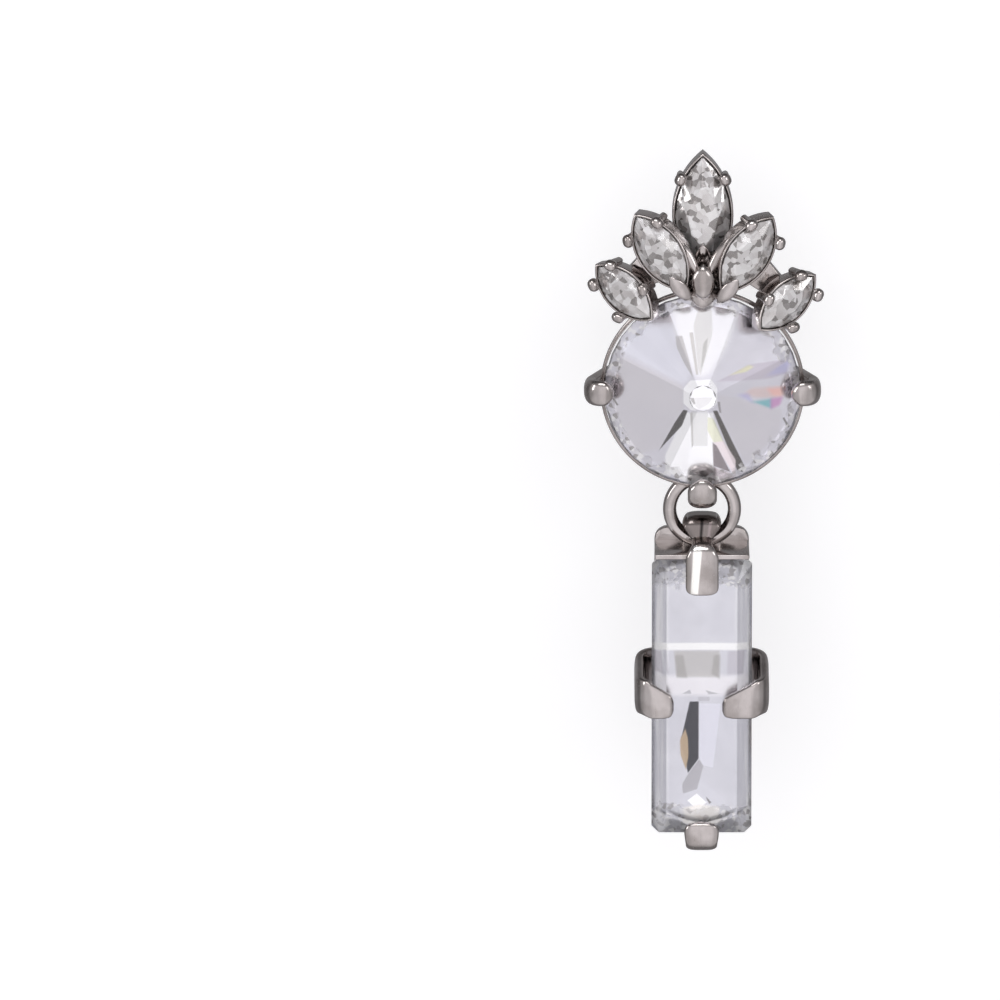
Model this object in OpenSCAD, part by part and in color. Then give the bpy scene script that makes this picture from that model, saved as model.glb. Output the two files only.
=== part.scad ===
// Crystal drop earring, hanging as worn.
// Millimetres, +Z up, the stones face -Y and the ear post points to +Y.
// The origin lies on the back of the setting, at the foot of the ear post, where the lobe sits.
// Depths are written as "forward": how far a face stands towards the viewer (-Y) from its own plane.

/* [Round stone] */
// Diameter of the round pointed stone
round_d = 16; // [15.6:0.1:16.4]
// Height of its faceted front above the girdle
round_crown_h = 3.05; // [2.8:0.05:3.3]
// Depth of its faceted back behind the girdle
round_back_h = 3.45; // [3.2:0.05:3.5]
// Width of the small flat table at its point
round_table_d = 2.1; // [1.6:0.1:3]

/* [Round setting] */
// Width of the four claws and of the cross behind the stone
claw_w = 2.3; // [2:0.1:2.5]
// Distance from the stone's middle to the outside of the side claws
side_reach = 9.7; // [9.5:0.05:9.8]
// Distance from the stone's middle to the outside of the top and bottom claws
end_reach = 9.55; // [9.4:0.05:9.6]
// Thickness of the cross behind the stone
cross_t = 0.9; // [0.7:0.05:1]

/* [Jump ring] */
// Inner radius of the jump ring
ring_inner_r = 2.1; // [2.05:0.05:2.2]
// Thickness of its wire
wire_d = 1.1; // [1:0.05:1.1]

/* [Drop] */
// Length of the long stone
drop_len = 23.4; // [22.5:0.1:24]
// Width of the long stone
drop_w = 8; // [7.6:0.1:8.2]
// How far its table stands in front of the ring's wire, so that the drop hangs upright
drop_table_f = 2.55; // [2.45:0.05:2.65]

/* [Ear post] */
// Diameter of the post
post_d = 0.9; // [0.7:0.05:1]
// Length of the post behind the setting
post_len = 11; // [9:0.5:12]

/* [Hidden] */

gap = 0.06;
metal = [0.66, 0.62, 0.6];
crystal = [0.88, 0.88, 0.92];

// Round stone and its seat
post_above_round = 5;
round_r = round_d / 2;
girdle_h = 0.3;
round_wedges = 16;
back_clear = 0.2;
cross_back = round_back_h + back_clear + cross_t;
round_at = [0, -cross_back, -post_above_round];
rim_t = 0.38;
rim_back = 0.55;
rim_in = round_r + gap;
bar_in = round_r + 0.4;

// Crown stones: name, length, width, x and z of the middle from the round stone's middle,
// forward of its girdle, lean from upright, pitch of the outer tip backwards, roll to face outwards
crown_rows = [
    ["top", 9.7, 4.5, 0, 14.46, -0.8, 0, 5, 0],
    ["upper_left", 7, 3.5, -3.5, 12.05, 2, -34, 8, -12],
    ["upper_right", 7, 3.5, 3.65, 11.85, 2, 34, 8, 12],
    ["lower_left", 6, 3, -6.45, 8.7, 1.9, -48, 18, -12],
    ["lower_right", 6, 3, 6.9, 7.85, 1.9, 48, 18, 12]];
cup_wall = 0.25;
cup_floor = 0.3;
stone_back = 0.36;
shoulder = 0.42;

// Jump ring and the drop's hinge
wire_r = wire_d / 2;
ring_r = ring_inner_r + wire_r;
ring_forward = -1.6;
ring_top_z = -(bar_in - gap) + wire_r;
hinge_z = ring_top_z - 2 * ring_r;

// Long stone, measured from the hinge on the ring's lowest point
drop_top_z = -1.1;
drop_crown_h = 1.2;
drop_back_h = 3.2;
drop_girdle_h = 0.3;
drop_girdle_f = drop_table_f - drop_crown_h;
drop_keel_f = drop_girdle_f - drop_girdle_h - drop_back_h;
strap_t = 0.8;
strap_front = drop_keel_f - gap;
strap_back = strap_front - strap_t;

// Half width of a pointed oval at a distance along its length
function oval_arc_r(len, wid) = (len * len + wid * wid) / (4 * wid);
function oval_half(len, wid, along) =
    sqrt(pow(oval_arc_r(len, wid), 2) - along * along) - oval_arc_r(len, wid) + wid / 2;

// Point number i of n on the outline of a pointed oval, counted anticlockwise from its top tip
function oval_point(len, wid, i, n) =
    let (turn = 4 * i / n, side = turn < 2 ? -1 : 1, half_turn = turn < 2 ? turn - 1 : turn - 3)
    let (reach = asin(len / 2 / oval_arc_r(len, wid)), a = reach * half_turn)
    [side * (oval_arc_r(len, wid) * cos(a) - oval_arc_r(len, wid) + wid / 2),
     side * oval_arc_r(len, wid) * sin(a)];

// Places a flat drawing (x, z) upright and gives it thickness between two forward depths
module upright(back, front) {
    translate([0, -back, 0])
        rotate([90, 0, 0])
            linear_extrude(front - back) children();
}

// Places a flat drawing (forward reversed, z) side on, centred across x
module side_on(width) {
    translate([-width / 2, 0, 0])
        rotate([90, 0, 90])
            linear_extrude(width) children();
}

module pointed_oval(len, wid, grow) {
    r = oval_arc_r(len, wid);
    intersection() {
        translate([r - wid / 2, 0]) circle(r = r + grow, $fn = 72);
        translate([wid / 2 - r, 0]) circle(r = r + grow, $fn = 72);
    }
}

// A cut stone on a closed outline of 16 points: table, star, kite and girdle facets, pointed back
module brilliant(points, crown_h, girdle, back_h, table_scale, keel_scale) {
    n = len(points);
    m = n / 2;
    star_scale = (1 + table_scale) / 2 + 0.04;
    star_h = crown_h * 0.62;
    top = [for (p = points) [p[0], p[1], 0]];
    low = [for (p = points) [p[0], p[1], -girdle]];
    star = [for (j = [0:m - 1]) [points[2 * j + 1][0] * star_scale, points[2 * j + 1][1] * star_scale, star_h]];
    table = [for (j = [0:m - 1]) [points[2 * j][0] * table_scale, points[2 * j][1] * table_scale, crown_h]];
    keel = [[0, keel_scale * points[0][1], -girdle - back_h], [0, -keel_scale * points[0][1], -girdle - back_h]];
    s0 = 2 * n;
    t0 = s0 + m;
    k0 = t0 + m;
    tip_side = function(i) points[i % n][1] + points[(i + 1) % n][1] > 0 ? k0 : k0 + 1;
    faces = concat(
        [[for (j = [m - 1:-1:0]) t0 + j]],
        [for (j = [0:m - 1]) [t0 + j, t0 + (j + 1) % m, s0 + j]],
        [for (j = [0:m - 1]) [t0 + j, s0 + j, 2 * j]],
        [for (j = [0:m - 1]) [t0 + (j + 1) % m, 2 * ((j + 1) % m), s0 + j]],
        [for (j = [0:m - 1]) [s0 + j, 2 * j + 1, 2 * j]],
        [for (j = [0:m - 1]) [s0 + j, (2 * j + 2) % n, 2 * j + 1]],
        [for (i = [0:n - 1]) [i, (i + 1) % n, n + i]],
        [for (i = [0:n - 1]) [(i + 1) % n, n + (i + 1) % n, n + i]],
        [for (i = [0:n - 1]) [n + i, n + (i + 1) % n, tip_side(i)]],
        [[n + n / 4, k0 + 1, k0], [n + 3 * n / 4, k0, k0 + 1]]);
    polyhedron(concat(top, low, star, table, keel), faces);
}

// Stands a shape that was made flat, face up, so that it faces the viewer
module face_viewer() {
    rotate([90, 0, 0]) children();
}

module round_stone() {
    n = 2 * round_wedges;
    half_step = 360 / n;
    table_r = round_table_d / 2;
    table_flat = table_r * cos(half_step);
    slope = (round_crown_h - girdle_h / 2) / (round_r - table_flat);
    edge_r = round_r - 0.75;
    edge_h = round_crown_h - slope * (edge_r * cos(half_step) - table_flat);
    ring = function(r, h, count, first) [for (i = [0:count - 1])
        [r * cos(first + i * 360 / count), r * sin(first + i * 360 / count), h]];
    points = concat(
        ring(table_r, round_crown_h, round_wedges, 0),
        ring(edge_r, edge_h, round_wedges, 0),
        ring(round_r, girdle_h / 2, n, 0),
        ring(round_r, -girdle_h / 2, n, 0),
        [[0, 0, -round_back_h]]);
    e0 = round_wedges;
    g0 = e0 + round_wedges;
    b0 = g0 + n;
    culet = b0 + n;
    w = round_wedges;
    faces = concat(
        [[for (i = [w - 1:-1:0]) i]],
        [for (i = [0:w - 1]) [i, (i + 1) % w, e0 + (i + 1) % w, g0 + 2 * i + 1, e0 + i]],
        [for (i = [0:w - 1]) [e0 + i, g0 + 2 * i + 1, g0 + 2 * i]],
        [for (i = [0:w - 1]) [e0 + i, g0 + 2 * i, g0 + (2 * i + n - 1) % n]],
        [for (i = [0:n - 1]) [g0 + i, g0 + (i + 1) % n, b0 + (i + 1) % n, b0 + i]],
        [for (i = [0:n - 1]) [b0 + i, b0 + (i + 1) % n, culet]]);
    color(crystal)
        translate(round_at)
            face_viewer() polyhedron(points, faces);
}

// Moves a child, made flat and face up, to the place of one crown stone
module crown_place(row) {
    translate(round_at + [row[3], -row[5], row[4]])
        rotate([0, row[6], 0])
            rotate([-row[7], 0, 0])
                rotate([0, 0, row[8]])
                    face_viewer() children();
}

module crown_stone(row) {
    points = [for (i = [0:15]) oval_point(row[1], row[2], i, 16)];
    color(crystal)
        crown_place(row)
            brilliant(points, 0.23 * row[2], 0.2, stone_back * row[2], 0.52, 0.45);
}

// A cup round one crown stone, with a claw at each shoulder
module crown_cup(row, ends) {
    len = row[1];
    wid = row[2];
    pocket = 0.2 + stone_back * wid + gap;
    claw_along = len * shoulder / 2;
    claw_side = oval_half(len, wid, claw_along);
    crown_place(row) {
        difference() {
            translate([0, 0, -pocket - cup_floor])
                linear_extrude(pocket + cup_floor + 0.05) pointed_oval(len, wid, cup_wall);
            translate([0, 0, -pocket])
                linear_extrude(pocket + 1) pointed_oval(len, wid, gap);
        }
        for (side = [-1, 1], end = ends) {
            translate([side * (claw_side + 0.32), end * (claw_along + 0.12), -pocket])
                cylinder(r = 0.25, h = pocket + 0.15 * wid + 0.2, $fn = 24);
            translate([side * (claw_side + 0.14), end * claw_along, 0.15 * wid + 0.2])
                sphere(r = 0.42, $fn = 24);
        }
    }
}

// A leaf-shaped claw that lies over the inner point of a crown stone, on a stem at the cup's tip
module leaf_claw(row, reach, len, wid) {
    stem_out = 0.55;
    crown_place(row) {
        translate([0, -row[1] / 2 + reach, 0.115 * row[2] + 0.12])
            rotate([22, 0, 0])
                linear_extrude(0.45) pointed_oval(len, wid, 0);
        translate([0, -row[1] / 2 - stem_out, -1.3])
            cylinder(r = 0.38, h = 1.75, $fn = 24);
    }
}

// Side view of one claw of the round setting: rounded back corner, bar, and head bent over the girdle
module claw_profile(reach) {
    head_mid = round_r + 0.25;
    head_f = 0.45;
    stone_slope = round_crown_h / (round_r - round_table_d / 2);
    stone_line = girdle_h / 2 + 0.14;
    difference() {
        union() {
            translate([-head_f, -head_mid]) circle(r = reach - head_mid, $fn = 48);
            translate([-head_f, -reach]) square([head_f + cross_back - cross_t, reach - bar_in]);
            translate([cross_back - cross_t, cross_t - reach]) circle(r = cross_t, $fn = 48);
            translate([0.5, cross_t - reach]) square([cross_back - 0.5, 1.5]);
        }
        polygon([
            [rim_back, -bar_in - 0.01], [-stone_line, -bar_in - 0.01], [-stone_line, -round_r - gap],
            [-stone_line - 3 * stone_slope, 3 - round_r], [rim_back, 3 - round_r]]);
        translate([0, -bar_in]) square([cross_back - cross_t, 5]);
    }
}

// One claw, made at the bottom, with its seat on the rim
module round_claw(reach) {
    outer_r = 1.5;
    inner_r = 1.6;
    head_end = reach - 2 * (round_r + 0.25);
    upright(-rim_back, girdle_h / 2)
        translate([-claw_w / 2, -bar_in - 0.3]) square([claw_w, 0.6]);
    difference() {
        intersection() {
            side_on(claw_w) claw_profile(reach);
            upright(-cross_back, 3) {
                intersection() {
                    translate([0, outer_r - reach]) circle(r = outer_r, $fn = 48);
                    translate([-claw_w / 2, -reach]) square([claw_w, outer_r]);
                }
                translate([-claw_w / 2, outer_r - reach - 0.2])
                    square([claw_w, head_end - claw_w / 2 - outer_r + reach + 0.2]);
                translate([0, head_end - claw_w / 2]) circle(d = claw_w, $fn = 48);
            }
        }
        upright(0.01 - cross_back + cross_t, -rim_back - 0.01)
            difference() {
                translate([-2, -bar_in - 0.7]) square([4, 1]);
                translate([0, -bar_in - inner_r]) circle(r = inner_r, $fn = 48);
            }
    }
}

// Thin rim round the girdle, the cross behind the stone and the four claws
module round_setting() {
    upright(-rim_back, girdle_h / 2)
        difference() {
            circle(r = rim_in + rim_t, $fn = 120);
            circle(r = rim_in, $fn = 120);
        }
    for (turn = [0, 180])
        rotate([0, turn, 0]) {
            round_claw(end_reach);
            rotate([0, 90, 0]) round_claw(side_reach);
        }
    upright(-cross_back, -cross_back + cross_t) {
        translate([-claw_w / 2, cross_t - end_reach]) square([claw_w, 2 * (end_reach - cross_t)]);
        translate([cross_t - side_reach, -claw_w / 2]) square([2 * (side_reach - cross_t), claw_w]);
        circle(r = 2.6, $fn = 48);
    }
}

// Metal that carries the crown stones: wings behind the cups, pegs up to them, and the middle boss
module crown_frame() {
    wing_back = -1;
    wing_front = -0.1;
    stem_r = 0.55;
    for (low = [crown_rows[3], crown_rows[4]]) {
        side = sign(low[3]);
        upright(wing_back, wing_front)
            polygon([
                [side * 0.3, 8.55], [side * 3.4, 9.1], [low[3] - side * 0.9, low[4] - 0.5],
                [low[3] + side * 0.6, low[4] - 0.3], [low[3] - side * 0.1, low[4] + 1.2], [side * 4, 12.5],
                [side * 2.35, 12.5], [side * 1.7, 11.2], [side * 1.05, 10.2], [side * 0.5, 9.45],
                [side * 0.3, 9.15]]);
    }
    upright(wing_back, 1.6)
        translate([0, rim_in + stem_r]) circle(r = stem_r, $fn = 32);
    upright(1.5, 2.75)
        translate([0, 9.5]) circle(r = 1.02, $fn = 32);
    upright(2.7, 3.05)
        translate([0, 9.5]) circle(r = 0.7, $fn = 32);
    for (row = crown_rows)
        if (row[0] != "top")
            upright(wing_back + 0.2, row[5] - 1.6)
                translate([row[3] * 0.96, row[4] - 0.25]) circle(r = 0.55, $fn = 24);
}

module upper_setting() {
    color(metal) {
        translate(round_at) {
            round_setting();
            crown_frame();
        }
        for (row = crown_rows)
            crown_cup(row, row[1] == 6 ? [-1, 1] : [1]);
        leaf_claw(crown_rows[0], 1.1, 3.4, 1.6);
        leaf_claw(crown_rows[1], 0.2, 2.8, 1.3);
        leaf_claw(crown_rows[2], 0.2, 2.8, 1.3);
    }
}

module ear_post() {
    foot_t = 0.35;
    post_r = post_d / 2;
    color(metal)
        translate([0, gap / 2, 0])
            rotate([-90, 0, 0])
                rotate_extrude($fn = 64)
                    difference() {
                        union() {
                            square([1.15, foot_t]);
                            square([post_r, post_len - post_r]);
                            translate([0, post_len - post_r])
                                intersection() {
                                    circle(r = post_r, $fn = 32);
                                    square(post_r);
                                }
                        }
                        translate([post_r + 0.1, post_len - 2]) circle(r = 0.25, $fn = 24);
                    }
}

module jump_ring() {
    color(metal)
        translate(round_at + [0, -ring_forward, ring_top_z - ring_r])
            rotate([90, 0, 0])
                rotate_extrude($fn = 96)
                    translate([ring_r, 0]) circle(r = wire_r, $fn = 32);
}

// Moves a child from the drop's own frame, with its origin on the hinge, to its hanging place
module drop_place() {
    translate(round_at + [0, -ring_forward, hinge_z]) children();
}

// Long stone: cut corners, table, bevels, a pointed fan of facets at each end and a keel behind
module drop_stone() {
    half_l = drop_len / 2;
    half_w = drop_w / 2;
    corner = 0.55;
    table_x = half_w - 1.2;
    table_z = half_l - 1.9;
    point_z = half_l - 1.1;
    keel_z = half_l - 4.6;
    quarter = [
        [half_w, half_l - corner], [half_w - corner, half_l], [0, half_l],
        [corner - half_w, half_l], [-half_w, half_l - corner]];
    outline = concat(quarter, [for (p = quarter) -p]);
    n = len(outline);
    table = [
        [table_x, table_z], [0, point_z], [-table_x, table_z],
        [-table_x, -table_z], [0, -point_z], [table_x, -table_z]];
    points = concat(
        [for (p = outline) [p[0], p[1], -drop_crown_h]],
        [for (p = outline) [p[0], p[1], -drop_crown_h - drop_girdle_h]],
        [for (p = table) [p[0], p[1], 0]],
        [for (z = [keel_z, -keel_z]) [0, z, -drop_crown_h - drop_girdle_h - drop_back_h]]);
    t0 = 2 * n;
    k0 = t0 + 6;
    end_faces = function(g, t) [
        [g, g + 1, t], [g + 1, g + 2, t], [g + 2, t + 1, t],
        [g + 2, t + 2, t + 1], [g + 2, g + 3, t + 2], [g + 3, g + 4, t + 2]];
    faces = concat(
        [[for (i = [5:-1:0]) t0 + i]],
        [for (f = concat(end_faces(0, t0), end_faces(5, t0 + 3))) [f[0], f[2], f[1]]],
        [[4, t0 + 2, t0 + 3], [4, t0 + 3, 5], [9, t0 + 5, t0], [9, t0, 0]],
        [for (i = [0:n - 1]) [i, (i + 1) % n, n + (i + 1) % n, n + i]],
        [for (i = [0:3]) [n + i, n + i + 1, k0]],
        [[n + 4, n + 5, k0 + 1, k0], [n + 9, n, k0, k0 + 1]],
        [for (i = [5:8]) [n + i, n + i + 1, k0 + 1]]);
    color(crystal)
        drop_place()
            translate([0, -drop_table_f, drop_top_z - half_l])
                face_viewer() polyhedron(points, faces);
}

// Dome over the ring's wire, a narrow bridge in front of it and the long claw down over the stone
module bail() {
    dome_half = 1.6;
    dome_z = 0.85;
    arch_r = 1.85;
    arch_y = 0.25;
    arch_z = 0.6;
    seat_z = drop_top_z + gap;
    claw_back = drop_table_f + gap;
    claw_front = claw_back + 0.95;
    claw_end = -3.95;
    half_front = [[0.8, 1.4], [0.8, 0.35], [1.35, -0.2], [1.35, claw_end + 0.5], [1.05, claw_end]];
    flare = function(x) ring_r - sqrt(ring_inner_r * ring_inner_r - x * x) + gap;
    flare_end = 1.9;
    difference() {
        union() {
            difference() {
                intersection() {
                    side_on(2 * dome_half)
                        union() {
                            translate([arch_y, arch_z]) circle(r = arch_r, $fn = 48);
                            translate([arch_y, seat_z]) square([arch_r, arch_z - seat_z]);
                        }
                    upright(-3, 3) {
                        translate([0, dome_z]) circle(r = dome_half, $fn = 48);
                        translate([-dome_half, seat_z]) square([2 * dome_half, dome_z - seat_z]);
                    }
                }
                for (side = [-1, 1])
                    upright(0.3, 3)
                        translate([side * 1.92, 0.1]) circle(r = 1.1, $fn = 32);
            }
            intersection() {
                side_on(2 * dome_half)
                    polygon([
                        [-0.9, 1.3], [-1.9, 0.62], [-3, 0.12], [-claw_front, -0.5],
                        [-claw_front, claw_end + 0.6], [-claw_back - 0.4, claw_end], [-claw_back, claw_end],
                        [-claw_back, seat_z], [-0.7, seat_z]]);
                upright(0, 4)
                    polygon(concat(half_front, [for (i = [4:-1:0]) [-half_front[i][0], half_front[i][1]]]));
            }
        }
        rotate([0, 90, 0])
            rotate_extrude($fn = 64)
                polygon(concat(
                    [[0, -flare_end]],
                    [for (i = [-8:8]) [flare(flare_end * i / 8), flare_end * i / 8]],
                    [[0, flare_end]]));
    }
}

// Strap round the stone, sloping down to the front, with its two slanting side claws
module side_claws() {
    strap_mid = -12.05;
    strap_w = 3.1;
    strap_slope = 13;
    claw_top = -11.25;
    claw_slant = 2.3;
    outer_half = 5.5;
    outer_r = 1.6;
    left_cover = 1.75;
    right_cover = 2.4;
    front = drop_table_f + gap + strap_t;
    inner_half = drop_w / 2 + gap;
    difference() {
        translate([0, 0, strap_mid])
            rotate([strap_slope, 0, 0])
                translate([0, 0, -strap_w / 2])
                    linear_extrude(strap_w) {
                        translate([outer_r - outer_half, -front])
                            square([2 * (outer_half - outer_r), front - strap_back]);
                        translate([-outer_half, outer_r - front])
                            square([2 * outer_half, front - strap_back - 2 * outer_r]);
                        for (sx = [-1, 1], y = [outer_r - front, -strap_back - outer_r])
                            translate([sx * (outer_half - outer_r), y]) circle(r = outer_r, $fn = 32);
                    }
        translate([0, 0, strap_mid - 4])
            linear_extrude(8) {
                translate([-inner_half, -drop_table_f - gap])
                    square([2 * inner_half, drop_table_f + gap - strap_front]);
                for (sx = [-1, 1])
                    translate([sx * (inner_half + 0.1), -drop_girdle_f]) circle(r = 0.75, $fn = 24);
                translate([left_cover - drop_w / 2, -front - 1])
                    square([drop_w - left_cover - right_cover, 1 + front - drop_table_f]);
            }
        for (cut = [[-1, left_cover], [1, right_cover]])
            upright(1, 4)
                polygon([
                    [cut[0] * inner_half, claw_top], [cut[0] * (inner_half - 2 * cut[1]), claw_top - claw_slant],
                    [0, 0], [cut[0] * inner_half, 0]]);
    }
}

module drop_setting() {
    shelf_bottom = drop_top_z + gap;
    shelf_h = 0.4;
    shelf_half = 3.87;
    plate_top = 0.5;
    plate_bottom = drop_top_z - 2.4;
    plate_r = 1;
    spine_half = 1.4;
    foot_z = drop_top_z - drop_len - gap;
    foot_t = 1;
    claw_t = 0.85;
    claw_front = drop_table_f + gap + claw_t;
    color(metal)
        drop_place() {
            upright(strap_back, drop_table_f - 0.1)
                translate([-shelf_half, shelf_bottom]) square([2 * shelf_half, shelf_h]);
            upright(strap_back, strap_front) {
                translate([-shelf_half, plate_bottom]) square([2 * shelf_half, plate_top - plate_r - plate_bottom]);
                translate([plate_r - shelf_half, plate_bottom])
                    square([2 * (shelf_half - plate_r), plate_top - plate_bottom]);
                for (sx = [-1, 1])
                    translate([sx * (shelf_half - plate_r), plate_top - plate_r]) circle(r = plate_r, $fn = 32);
                translate([-spine_half, foot_z - foot_t + 0.6]) square([2 * spine_half, drop_len]);
            }
            bail();
            side_claws();
            side_on(2 * spine_half)
                difference() {
                    union() {
                        translate([foot_t - claw_front, foot_z - foot_t])
                            square([claw_front - strap_back - 2 * foot_t, foot_t]);
                        translate([foot_t - claw_front, foot_z]) circle(r = foot_t, $fn = 32);
                        translate([-strap_back - foot_t, foot_z]) circle(r = foot_t, $fn = 32);
                        translate([-claw_front, foot_z]) square([claw_t, 1.3]);
                    }
                    translate([-drop_table_f - gap, foot_z]) square([drop_table_f + gap - strap_front, 3]);
                }
        }
}

for (row = crown_rows)
    crown_stone(row);
upper_setting();
ear_post();
round_stone();
jump_ring();
drop_setting();
drop_stone();
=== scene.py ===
"""Crystal drop earring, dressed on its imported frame: cut stones in claws, cups, straps and a jump ring.

Sizes are in millimetres, in the frame of the part's source. A piece of the upper half is drawn in (x, forward, z)
from the round stone's middle, forward being towards the viewer, and a piece of the drop in the same three from the
hinge on the ring's lowest point.
"""

import logging
import math
from collections.abc import Callable, Sequence
from dataclasses import dataclass, field
from enum import Enum

import bpy
import numpy as np
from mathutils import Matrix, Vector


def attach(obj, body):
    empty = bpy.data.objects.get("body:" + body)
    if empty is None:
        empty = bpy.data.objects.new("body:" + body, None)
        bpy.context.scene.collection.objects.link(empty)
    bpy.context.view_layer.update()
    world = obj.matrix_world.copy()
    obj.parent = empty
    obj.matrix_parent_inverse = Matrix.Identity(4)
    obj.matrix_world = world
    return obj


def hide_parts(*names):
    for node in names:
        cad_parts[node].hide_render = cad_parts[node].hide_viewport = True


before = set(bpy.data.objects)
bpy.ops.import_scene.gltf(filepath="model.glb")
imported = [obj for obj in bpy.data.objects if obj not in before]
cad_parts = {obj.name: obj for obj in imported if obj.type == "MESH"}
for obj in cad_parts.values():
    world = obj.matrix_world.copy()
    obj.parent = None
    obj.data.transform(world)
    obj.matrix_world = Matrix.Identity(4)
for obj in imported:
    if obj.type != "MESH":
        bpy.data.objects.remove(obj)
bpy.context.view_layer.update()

LOG = logging.getLogger("earring")
MM = 0.001
CLEAR = 0.02  # millimetres between two surfaces that would otherwise share a face
TIP = 0.03  # the least half width, or share of it, at a drawn-in tip
STRAIGHT = 1.5  # half an angle in radians, past which a corner counts as straight
SIDE_SHARE = 0.49  # the most of a side that the arc of one corner may take
ARC_STEP = 0.16  # radians of an arc to a step
Array = np.ndarray
Place = Callable[[Array], Array]
Colour = tuple[float, float, float, float]


# ---------------------------------------------------------------- places


def turned(points: Array, axis: int, degrees: float) -> Array:
    """Turns points about one axis through the origin.

    Args:
        points: Array of (..., 3).
        axis: 0, 1 or 2 for X, Y or Z.
        degrees: Right-handed angle.

    Returns:
        The points turned, in an array of the same shape.
    """
    c, s = math.cos(math.radians(degrees)), math.sin(math.radians(degrees))
    a, b = (axis + 1) % 3, (axis + 2) % 3
    out = np.array(points, dtype=float)
    out[..., a] = c * points[..., a] - s * points[..., b]
    out[..., b] = s * points[..., a] + c * points[..., b]
    return out


@dataclass(frozen=True)
class Layout:
    """Where the halves of the earring sit, in millimetres."""

    round_back: float = 4.55
    round_drop: float = 5.0
    hinge_y: float = -2.95
    hinge_z: float = -18.09

    def upper(self, points: Array) -> Array:
        """(x, forward, z) from the round stone's middle to the row's frame."""
        x, f, z = np.moveaxis(np.asarray(points, dtype=float), -1, 0)
        return np.stack([x, -self.round_back - f, z - self.round_drop], axis=-1)

    def drop(self, points: Array) -> Array:
        """(x, forward, z) from the drop's hinge to the row's frame."""
        x, f, z = np.moveaxis(np.asarray(points, dtype=float), -1, 0)
        return np.stack([x, self.hinge_y - f, z + self.hinge_z], axis=-1)


LAYOUT = Layout()


@dataclass(frozen=True)
class CrownSeat:
    """Place and size of one pointed oval stone of the crown.

    x, z and forward go from the round stone's middle to the middle of the oval's girdle, in millimetres. In degrees,
    lean turns the tip to the right, pitch tips the face, and roll turns the stone about its length.
    """

    name: str
    length: float
    width: float
    x: float
    z: float
    forward: float
    lean: float
    pitch: float
    roll: float
    girdle: float = 0.2

    @property
    def crown(self) -> float:
        """Height of the table above the girdle."""
        return 0.23 * self.width

    @property
    def back(self) -> float:
        """Depth of the keel behind the girdle."""
        return 0.36 * self.width

    def place(self, points: Array) -> Array:
        """Moves points from the stone's own flat frame, face up and tip along +Y, to the row's frame.

        Args:
            points: Array of (..., 3) in millimetres.

        Returns:
            The points in the row's frame, in an array of the same shape.
        """
        p = turned(np.asarray(points, dtype=float), 0, 90)
        p = turned(turned(turned(p, 2, self.roll), 0, -self.pitch), 1, self.lean)
        return p + np.array([self.x, -LAYOUT.round_back - self.forward, self.z - LAYOUT.round_drop])


CROWN = (
    CrownSeat("top", 9.7, 4.5, 0, 14.46, -0.8, 0, 5, 0),
    CrownSeat("upper_left", 7, 3.5, -3.5, 12.05, 2, -34, 8, -12),
    CrownSeat("upper_right", 7, 3.5, 3.65, 11.85, 2, 34, 8, 12),
    CrownSeat("lower_left", 6, 3, -6.45, 8.7, 1.9, -48, 18, -12),
    CrownSeat("lower_right", 6, 3, 6.9, 7.85, 1.9, 48, 18, 12),
)
LOWER = CROWN[3:]


# ---------------------------------------------------------------- surfaces


@dataclass
class Shell:
    """One closed surface in millimetres, in the row's frame."""

    points: Array
    faces: list[list[int]]
    smooth: bool = True
    slots: list[int] = field(default_factory=list)

    def volume(self) -> float:
        """Adds up the fans of all faces, each triangle of a fan being a pyramid on the origin.

        Returns:
            The signed volume, below 0 where the faces point inwards.
        """
        total = 0.0
        sizes = np.array([len(f) for f in self.faces])
        for size in np.unique(sizes):
            block = np.array([f for f in self.faces if len(f) == size])
            first = self.points[block[:, 0]]
            for i in range(1, size - 1):
                total += float(np.einsum(
                    "ij,ij->i", first, np.cross(self.points[block[:, i]], self.points[block[:, i + 1]])).sum())
        return total / 6

    def outward(self) -> "Shell":
        """Turns the faces round where they point inwards.

        Returns:
            This shell.
        """
        if self.volume() < 0:
            self.faces = [f[::-1] for f in self.faces]
        return self


def grid_shell(grid: Array, ring: bool = False) -> Shell:
    """Closes a grid of sections into a surface.

    Each row of the grid is a closed section, and neighbouring rows are joined by four-sided faces. The first and last
    rows are covered, or joined to each other.

    Args:
        grid: Array (rows, columns, 3).
        ring: True to join the last row to the first.

    Returns:
        The closed surface.
    """
    rows, cols = grid.shape[:2]
    u, v = np.meshgrid(np.arange(rows if ring else rows - 1), np.arange(cols), indexing="ij")
    u2, v2 = (u + 1) % rows, (v + 1) % cols
    quads = np.stack([u * cols + v, u * cols + v2, u2 * cols + v2, u2 * cols + v], axis=-1).reshape(-1, 4).tolist()
    if not ring:
        quads.append(list(range(cols))[::-1])
        quads.append(list(range((rows - 1) * cols, rows * cols)))
    return Shell(grid.reshape(-1, 3), quads).outward()


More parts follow.
